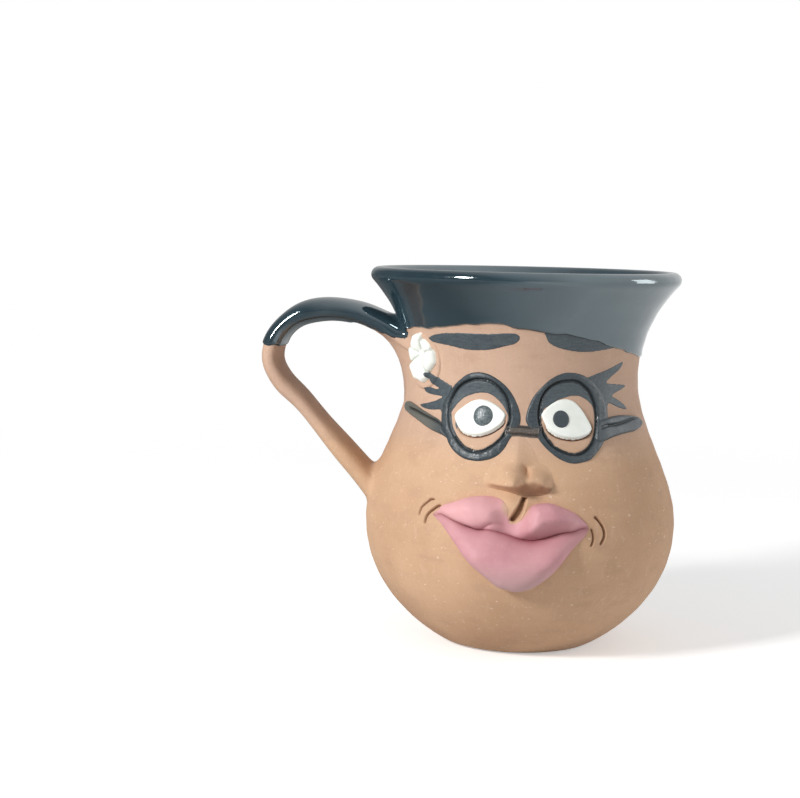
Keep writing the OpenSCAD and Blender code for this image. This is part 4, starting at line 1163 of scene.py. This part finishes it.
def lay_arm(side, drawn, groove, seed, rim=None):
    """A double coil; where a rim is given, the arm thins out as it runs onto it."""
    outline, groove = smooth_line(drawn, closed=True, fine=4), smooth_line(groove)

    # The pressed groove, which also gets painted shade
    def cut(phi, z):
        from_groove, along = line_distance(groove, phi, z)
        return crest(from_groove, 0.3) * eased(1 - along, 0, 0.12)

    def height(phi, z):
        body = edged(depth_inside(outline, phi, z), 0.85, 0.55)
        if rim is not None:
            body = body * (1 - 0.9 * eased(depth_inside(rim, phi, z), -0.3, 0.9))
        pressed = 0.7 * cut(phi, z) * (body > 0.2)
        return body - pressed + 0.07 * ripple(phi, z, 5, seed) * (body > 0.3)

    relief(
        side + "_spectacle_arm", outline, 0.2, height, spectacle_slip, "black_slip",
        side + "_glasses_arm", cut=cut,
    )


def bridge_cut(phi, z):
    """1 along the two lines that a tool pressed into the bar, where shade is also painted."""
    return crest(depth_inside(BRIDGE, phi, z) - 0.5, 0.24)


def bridge_height(phi, z):
    depth = depth_inside(BRIDGE, phi, z)
    bar = 0.5 * rounded(depth - 0.6, 0.9) - 0.35 * bridge_cut(phi, z)
    return edged(depth, 0.55, 0.3) + bar + 0.03 * ripple(phi, z, 3, 35)


lay_arm("left", LEFT_ARM, LEFT_GROOVE, 33, rim=LEFT_RIM_OUT)
lay_arm("right", RIGHT_ARM, RIGHT_GROOVE, 34)
relief(
    "spectacle_bridge", BRIDGE, 0.2, bridge_height, bridge_slip, "black_slip", "glasses_bridge",
    cut=bridge_cut,
)

# %% [markdown]
# Flower
#
# Five dabs of white clay were pressed onto a thin round of clay above the lashes, then pushed
# in at the middle with a finger, which left creases between the petals. Each petal is a sector
# with its own swell, so the creases come from where the swells meet.

# %% Shape the flower
FLOWER_PHI, FLOWER_Z = -55.4, 78.4
PAD = round_outline(-56.6, 76.3, 7.4)
MIDDLE = round_outline(FLOWER_PHI, FLOWER_Z, 1.5)
PETALS = [
    # Direction in degrees from level, half angle, reach, swell
    (119, 43, 5.4, 1.5), (48, 30, 4.6, 1.2), (-22, 41, 5.7, 1.6), (-107, 45, 7.6, 1.7),
    (183, 26, 6.1, 1.5),
]


def from_flower(phi, z, direction):
    """Distance from the flower's middle, and degrees away from a direction, up to 180."""
    x, y = np.radians(phi - FLOWER_PHI) * wall_radius(z), z - FLOWER_Z
    turn = np.degrees(np.arctan2(y, x)) - direction
    return np.hypot(x, y), np.abs((turn + 180) % 360 - 180)


def from_petal_side(far, bearing, half):
    return np.sin(np.radians(np.clip(half - bearing, -90, 90))) * far


def petal_height(direction, half, reach, swell, seed):
    def height(phi, z):
        far, bearing = from_flower(phi, z, direction)
        broad = reach * (1 - 0.16 * np.minimum(bearing / half, 1.2) ** 4)
        broad = broad + 0.25 * ripple(phi, z, 2.6, seed)
        depth = np.minimum(from_petal_side(far, bearing, half) + 0.3, broad - far)
        domed = edged(depth, swell * (1 - 0.75 * crest(far, 1.9)), 1.5, fall=4, base=0.5)
        return domed + 0.1 * ripple(phi, z, 2.2, seed + 9) * (depth > 0)

    return height


def petal_crease_shade(direction, half):
    """Painted shade: grey in the creases between petals, and a little in the finger dimple."""

    def cut(phi, z):
        far, bearing = from_flower(phi, z, direction)
        crease = crest(from_petal_side(far, bearing, half), 0.4)
        return np.maximum(crease, 0.5 * np.exp(-(far**2) / 3))

    return cut


def pad_height(phi, z):
    return edged(depth_inside(PAD, phi, z), 0.55, 0.8) + 0.04 * ripple(phi, z, 3, 51)


def middle_height(phi, z):
    return edged(depth_inside(MIDDLE, phi, z), 0.25, 1.2, fall=4, base=0.8)


print("the flower has", len(PETALS), "petals")


# %% Press on the flower
def petal_corners(direction, half, reach):
    """The middle, and three places just beyond the petal's end, as its window."""
    bearing = np.radians(direction + np.array([0, -half, 0, half]))
    far = (reach + 0.6) * np.array([0, 1, 1, 1])
    wide = np.degrees(far * np.cos(bearing) / float(wall_radius(FLOWER_Z)))
    return np.stack([FLOWER_PHI + wide, FLOWER_Z + far * np.sin(bearing)], -1)


relief("flower_round", PAD, 0.22, pad_height, bare_clay, "bare_clay", "flower_pad")
petal_heights = [petal_height(*petal, 60 + number) for number, petal in enumerate(PETALS, 1)]
for number, (direction, half, reach, _) in enumerate(PETALS, 1):
    relief(
        f"flower_dab_{number}", petal_corners(direction, half, reach), 0.16,
        petal_heights[number - 1], white_clay, "white_clay", f"flower_petal_{number}",
        cut=petal_crease_shade(direction, half),
    )
relief("flower_middle", MIDDLE, 0.16, middle_height, white_clay, "white_clay", "flower_centre")

# %% [markdown]
# Slip brushed on
#
# Lids, lashes and brows are flat strokes of slip, a fraction of a millimetre thick, with a
# slightly ragged edge. The same relief helper lays them, thin, with a little unevenness along
# the edge so that the stroke looks brushed.

# %% Strokes of slip
LEFT_LID = [
    (-35.0, 63.4), (-35.3, 66.8), (-33.7, 69.2), (-30.6, 71.1), (-26.4, 72.4), (-22.2, 73.0),
    (-17.8, 73.1), (-13.8, 72.6), (-10.2, 71.4), (-7.6, 69.8), (-5.8, 67.8), (-5.0, 65.7),
    (-5.2, 63.4), (-6.1, 64.1), (-7.5, 65.5), (-9.6, 67.1), (-12.9, 68.6), (-16.3, 69.4),
    (-19.6, 69.5), (-23.7, 69.0), (-28.0, 68.0), (-31.2, 66.4), (-33.2, 64.9),
]
RIGHT_LID = [
    (7.6, 61.6), (7.4, 65.9), (7.5, 67.8), (8.6, 69.7), (10.8, 71.5), (14.0, 72.7), (17.5, 73.3),
    (21.5, 73.5), (25.2, 73.4), (29.2, 72.5), (32.8, 71.0), (35.2, 68.9), (36.4, 66.4),
    (36.4, 64.4), (34.3, 66.7), (31.3, 68.2), (27.3, 69.2), (23.4, 69.2), (19.2, 68.6),
    (16.3, 68.0), (13.5, 67.0), (10.4, 66.0), (9.2, 64.6), (8.4, 62.9),
]
LEFT_LASHES = [
    (-35.5, 70.3), (-37.1, 70.9), (-42.0, 71.9), (-46.8, 73.0), (-49.8, 73.5), (-51.4, 73.6),
    (-51.3, 72.7), (-50.0, 71.6), (-47.8, 70.4), (-44.3, 69.8), (-45.7, 69.4), (-50.2, 69.7),
    (-54.3, 69.4), (-55.2, 68.9), (-53.1, 68.2), (-48.2, 67.9), (-42.8, 67.8), (-41.3, 67.6),
    (-42.6, 67.1), (-46.8, 66.2), (-52.8, 65.4), (-56.9, 64.9), (-53.3, 64.2), (-47.3, 64.0),
    (-42.3, 64.3), (-40.8, 64.3), (-39.6, 63.4), (-37.4, 63.6), (-36.6, 68.0),
]
RIGHT_LASHES = [
    (31.6, 73.6), (35.9, 74.5), (42.0, 75.4), (48.7, 76.5), (54.4, 77.4), (56.0, 77.1),
    (53.0, 75.4), (48.0, 74.0), (44.1, 72.6), (45.3, 72.1), (50.9, 71.8), (58.3, 71.4),
    (59.6, 70.9), (53.6, 70.0), (48.2, 69.1), (49.3, 68.4), (54.3, 67.2), (58.7, 65.4),
    (56.2, 65.1), (49.8, 66.1), (44.7, 67.0), (43.0, 64.9), (41.0, 66.0), (38.5, 69.4),
    (33.5, 72.6),
]
LEFT_BROW = [
    (-50.2, 82.3), (-46.2, 83.4), (-41.2, 84.0), (-34.0, 84.4), (-23.2, 84.6), (-14.3, 84.7),
    (-8.1, 85.0), (-4.3, 85.0), (-2.5, 84.7), (-1.6, 83.9), (-2.4, 83.0), (-4.3, 82.2),
    (-8.2, 81.6), (-11.4, 81.1), (-14.7, 80.6), (-19.7, 80.3), (-24.9, 80.2), (-29.4, 80.4),
    (-33.2, 80.7), (-38.2, 81.1), (-45.8, 81.5),
]
RIGHT_BROW = [
    (9.2, 85.4), (9.7, 84.4), (10.3, 83.6), (11.5, 82.7), (14.4, 81.8), (18.6, 81.1), (23.8, 80.6),
    (29.2, 80.4), (34.8, 80.5), (39.7, 80.8), (45.7, 81.2), (46.0, 81.8), (40, 82.6), (32.6, 83.7),
    (24, 84.7), (16, 85.4),
]
print("strokes drawn: two lids, two groups of lashes, two brows")


# %% Brush on the slip
def flower_top(phi, z):
    """The height of whatever part of the flower is uppermost, or 0 beside it."""
    return np.maximum.reduce([0 * z, pad_height(phi, z)] + [top(phi, z) for top in petal_heights])


def bare_wall(phi, z):
    return 0 * z


def brush(name, drawn, node_name, thick=0.14, ground=bare_wall, cut=None):
    """A stroke of slip inside an outline, over the wall or over other work on it."""
    outline = smooth_line(drawn, closed=True, fine=3)
    seed = len(name)

    def height(phi, z):
        depth = depth_inside(outline, phi, z) + 0.06 * ripple(phi, z, 1.4, seed)
        stroke = edged(depth, thick, 0.35) + 0.03 * ripple(phi, z, 1.1, 40 + seed) * (depth > 0.2)
        return stroke + ground(phi, z)

    relief(name, outline, 0.22, height, brushed_slip, "black_slip", node_name, cut=cut)


brush("left_lid_stroke", LEFT_LID, "left_eyelid", ground=pressed_rings, cut=ring_groove_shade)
brush("right_lid_stroke", RIGHT_LID, "right_eyelid", ground=pressed_rings, cut=ring_groove_shade)
brush("left_lash_strokes", LEFT_LASHES, "left_lashes", thick=0.2, ground=flower_top)
brush("right_lash_strokes", RIGHT_LASHES, "right_lashes")
brush("left_brow_stroke", LEFT_BROW, "left_brow")
brush("right_brow_stroke", RIGHT_BROW, "right_brow")

# %% [markdown]
# The strap handle
#
# A strap was pulled from a lump, bent over and pressed onto the neck and the belly. It is a
# sweep: an oval section carried along a curve. What makes it look thrown and not assembled is
# the join, so every line along the strap is bent out onto the wall at both ends by a short
# curve that leaves along the strap and arrives along the wall.

# %% The strap's path and section
STRAP_SHARES = [
    (-0.104, 0.775), (0.057, 0.854), (0.22, 0.935), (0.407, 0.989), (0.623, 1), (0.812, 0.957),
    (0.954, 0.845), (1, 0.697), (0.925, 0.562), (0.771, 0.436), (0.583, 0.254), (0.407, 0.09),
    (0.246, -0.056), (0.112, -0.17),
]
REACH, HANDLE_TOP, HANDLE_LOW = 68.0, 88.4, 44.0
STRAP_W, STRAP_T = 16.5, 5.4


def seen_from_side(shares):
    """Places as mm along X and up, from shares of the handle's reach and of its height."""
    out, up = np.transpose(shares)
    x = -NECK_R - out * (REACH - NECK_R)
    return np.stack([x, HANDLE_LOW + up * (HANDLE_TOP - HANDLE_LOW)], -1)


strap_path = smooth_line(seen_from_side(STRAP_SHARES), fine=8)


def strap_lines(sides):
    """Points in rows along the strap and columns round its section, wider at both ends."""
    share = np.linspace(0, 1, len(strap_path))
    run = np.gradient(strap_path, axis=0)
    run /= np.linalg.norm(run, axis=1)[:, None]
    swell = np.clip(1 - share / 0.24, 0, 1) ** 2 + np.clip((share - 0.74) / 0.26, 0, 1) ** 2
    wobble = 0.12 * np.sin(share * 23 + 1) + 0.08 * np.sin(share * 41)
    half_t = STRAP_T / 2 * (1 + 0.7 * swell) + wobble
    half_w = STRAP_W / 2 * (1 + 0.22 * swell) + 1.6 * wobble
    angle = 2 * np.pi * np.arange(sides) / sides
    thick, wide = (
        np.sign(part) * np.abs(part) ** blunt
        for part, blunt in ((np.cos(angle), 0.8), (np.sin(angle), 0.9))
    )
    square = np.stack([run[:, 1], -run[:, 0]], -1)
    side = strap_path[:, None] + square[:, None] * thick[:, None] * half_t[:, None, None]
    return np.stack([side[..., 0], -wide * half_w[:, None], side[..., 1]], -1)


def gap_from_wall(points):
    x, y, z = np.moveaxis(points, -1, 0)
    return np.hypot(x, y) - wall_radius(np.clip(z, 0.1, FLARE_Z))


print("the strap stands out", round(-strap_path[:, 0].min(), 1), "mm from the axis")


# %% Pull the handle
def bent_onto_wall(start, beside, middle, spread, rows):
    """A curve from the end of a line, that lands spread mm further from the strap's middle."""
    ahead = (start - beside) / np.linalg.norm(start - beside)
    ray = start + np.linspace(0, 30, 601)[:, None] * ahead
    inside = gap_from_wall(ray) <= 0
    meet = ray[np.argmax(inside)] if inside.any() else ray[40]
    turn = math.atan2(meet[0], -meet[1])
    away = np.array([meet[0], meet[1], 0]) / math.hypot(meet[0], meet[1])
    section = start - middle
    section = section - away * (section @ away)
    section = section / (np.linalg.norm(section) + 1e-9)
    sideways = spread * (section @ np.array([math.cos(turn), math.sin(turn), 0]))
    phi = math.degrees(turn)
    landing_phi = phi + math.degrees(sideways / float(wall_radius(meet[2])))
    landing_z = np.clip(meet[2] + spread * section[2], 1, 97)
    corner, landing = on_wall(phi, meet[2]), on_wall(landing_phi, landing_z, -0.04)
    t = np.linspace(0, 1, rows + 1)[1:, None]
    return (1 - t) ** 2 * start + 2 * t * (1 - t) * corner + t**2 * landing


def joined_strap(sides, rows, bend_rows):
    lines, steps = strap_lines(sides), np.arange(len(strap_path))
    columns = []
    for number in range(sides):
        line = lines[:, number]
        facing = math.cos(2 * math.pi * number / sides)
        top_face, under_face = max(facing, 0), max(-facing, 0)
        # The underside bends down early and far, which is the long web under the upper joint
        clear_top, clear_low = 2.2 + 0.8 * top_face + 7.5 * under_face, 1.6 + 1.2 * under_face
        spreads = 2.6 + 13.4 * under_face**1.5, 2.2 + 3.2 * under_face
        gap = gap_from_wall(line)
        first = np.argmax(gap > clear_top)
        last = len(steps) - 1 - np.argmax(gap[::-1] > clear_low)
        place = np.linspace(first, last, rows)
        body = np.stack([np.interp(place, steps, part) for part in line.T], -1)
        bends = []
        for end, beside, spread in zip((0, -1), (1, -2), spreads):
            x, z = (np.interp(place[end], steps, part) for part in strap_path.T)
            bends.append(
                bent_onto_wall(body[end], body[beside], np.array([x, 0, z]), spread, bend_rows)
            )
        columns.append(np.concatenate([bends[0][::-1], body, bends[1]]))
    return np.stack(columns, 1)


handle_skin = joined_strap(sides=48, rows=70, bend_rows=9)
handle_faces = grid_faces(*handle_skin.shape[:2], around=True)
clay_piece("pulled_handle", handle_skin, handle_faces, bare_clay, "bare_clay", "handle")

# %% [markdown]
# Glaze on the handle
#
# The same dip reached the top of the strap and stopped at a slant, and under the upper joint
# the clay stayed bare. The coat is the strap's own skin lifted off by the coat's thickness,
# with the same bead at its edge; the rest of that skin is left out.

# %% Glaze the handle
DIPPED = [
    (-0.3, 0.925), (-0.02, 0.915), (0.0, 0.85), (0.1, 0.845), (0.36, 0.932), (0.515, 0.918),
    (0.634, 0.79), (0.8, 0.775), (1.37, 0.79), (1.37, 1.3), (-0.3, 1.3),
]
COAT = 0.42


def glaze_handle():
    skin = joined_strap(sides=72, rows=170, bend_rows=14)
    faces = grid_faces(*skin.shape[:2], around=True)
    along, around = np.gradient(skin, axis=0), (np.roll(skin, -1, 1) - np.roll(skin, 1, 1)) / 2
    normal = np.cross(along, around)
    normal /= np.linalg.norm(normal, axis=2)[..., None] + 1e-9
    x, y, z = np.moveaxis(skin, -1, 0)
    wander = 0.12 * np.sin(x * 2.1) + 0.08 * np.sin(y * 1.7)
    depth = plane_depth(x, z, *seen_from_side(DIPPED).T) + wander
    lift = edged(depth, COAT, 0.7, fall=1.5)
    kept = lift.ravel()[faces].max(1) > SUNK + 0.05
    return skin + normal * lift[..., None], faces[kept]


clay_piece("handle_dip", *glaze_handle(), black_glaze, "black_glaze", "handle_glaze")

# %% [markdown]
# A plain white room
#
# The floor and the sky are white. One large soft lamp stands at the upper left in front, so
# the nose and the lips throw soft shadows down to the right. A panel on the right, and a sky
# that is brighter on the right where it is mirrored, give the pale side of the glaze. The sky
# gives the rest, evenly.

# %% Floor and sky
WHITE = (1, 1, 1, 1)


def grey(level):
    return (level, level, level, 1)


def floor_mesh():
    """A round floor in three rings about the middle."""
    turns = np.radians(np.arange(0, 360, 6))
    round_once = np.stack([np.cos(turns), np.sin(turns), 0 * turns], -1)
    count = len(turns)
    points = np.concatenate([[(0, 0, 0)], *(reach * round_once for reach in (0.2, 0.6, 6.0))])
    faces = [(0, 1 + i, 1 + (i + 1) % count) for i in range(count)]
    rings = grid_faces(3, count, around=True)[:, [0, 3, 2, 1]] + 1
    mesh = bpy.data.meshes.new("floor")
    mesh.from_pydata(points.tolist(), [], faces + rings.tolist())
    return mesh


def lay_floor():
    floor = Finish("white_floor", 0.9)
    rays = floor.node("LightPath").outputs
    seen, mirrored = rays["Is Camera Ray"], rays["Is Glossy Ray"]
    # Painted reflection: to mirrored rays the floor is dark grey on the left and glows white on the
    # right, for the glaze's dark and pale sides
    tone = floor.blended(mirrored, floor.blended(seen, grey(0.8), grey(0.92)), grey(0.12))
    floor.feed(floor.shader.inputs["Base Color"], tone)
    reach = floor.node("VectorMath", {0: floor.where}, operation="LENGTH")
    far = floor.stepped(reach.outputs["Value"], 0.1, 0.5)
    side = floor.stepped(floor.axis("X"), -0.085, 0.07, 0.05, 1, soft=False)
    share = floor.calculated("MAXIMUM", floor.times(far, seen), floor.times(mirrored, side))
    lift = floor.node("Emission", {"Color": WHITE, "Strength": floor.times(seen, 0.38)})
    lit = floor.node("AddShader", {0: floor.shader.outputs[0], 1: lift.outputs[0]})
    glow = floor.node("Emission", {"Color": WHITE, "Strength": 1.0})
    mix = floor.node("MixShader", {0: share, 1: lit.outputs[0], 2: glow.outputs[0]})
    floor.feed(floor.tree.nodes["Material Output"].inputs["Surface"], mix.outputs[0])
    mesh = floor_mesh()
    mesh.materials.append(floor.material)
    placed("floor", mesh)


def raise_sky(level):
    """A white sky, lighting at a level, seen at 1 and mirrored brighter on the right."""
    world = bpy.data.worlds.new("white_sky")
    world.use_nodes = True
    sky = Nodes(world.node_tree)
    rays = sky.node("LightPath").outputs
    way = sky.node("TexCoord").outputs["Generated"]
    leaning = sky.node("VectorMath", {0: way, 1: (1.1, 0.2, 0.3)}, operation="DOT_PRODUCT")
    mirrored = sky.stepped(leaning.outputs["Value"], -0.4, 0.7, 0.1, 1.1, soft=False)
    strength = level
    for ray, value in (("Is Glossy Ray", mirrored), ("Is Camera Ray", 1.0)):
        strength = sky.node("Mix", {0: rays[ray], 2: strength, 3: value}).outputs[0]
    light = sky.tree.nodes["Background"]
    sky.feed(light.inputs["Color"], WHITE)
    sky.feed(light.inputs["Strength"], strength)
    bpy.context.scene.world = world


lay_floor()
raise_sky(0.38)
print("floor and sky are white")

# %% Lamps
LOOKED_AT = (0, 0, 55)


def hang_lamp(name, place, size, power, size_y=None):
    lamp = bpy.data.lights.new(name, "AREA")
    lamp.energy = power
    lamp.size = size
    if size_y:
        lamp.shape, lamp.size_y = "RECTANGLE", size_y
    hung = placed(name, lamp)
    hung.location = [value * MM for value in place]
    towards = Vector((np.array(LOOKED_AT) - np.array(place)) * MM)
    hung.rotation_euler = towards.to_track_quat("-Z", "Y").to_euler()
    print("lamp:", name)


hang_lamp("window", (-740, -670, 555), size=0.2, power=10.2)
hang_lamp("panel", (620, 60, 120), size=0.2, power=1.2, size_y=0.5)
bpy.context.scene.view_settings.view_transform = "Standard"
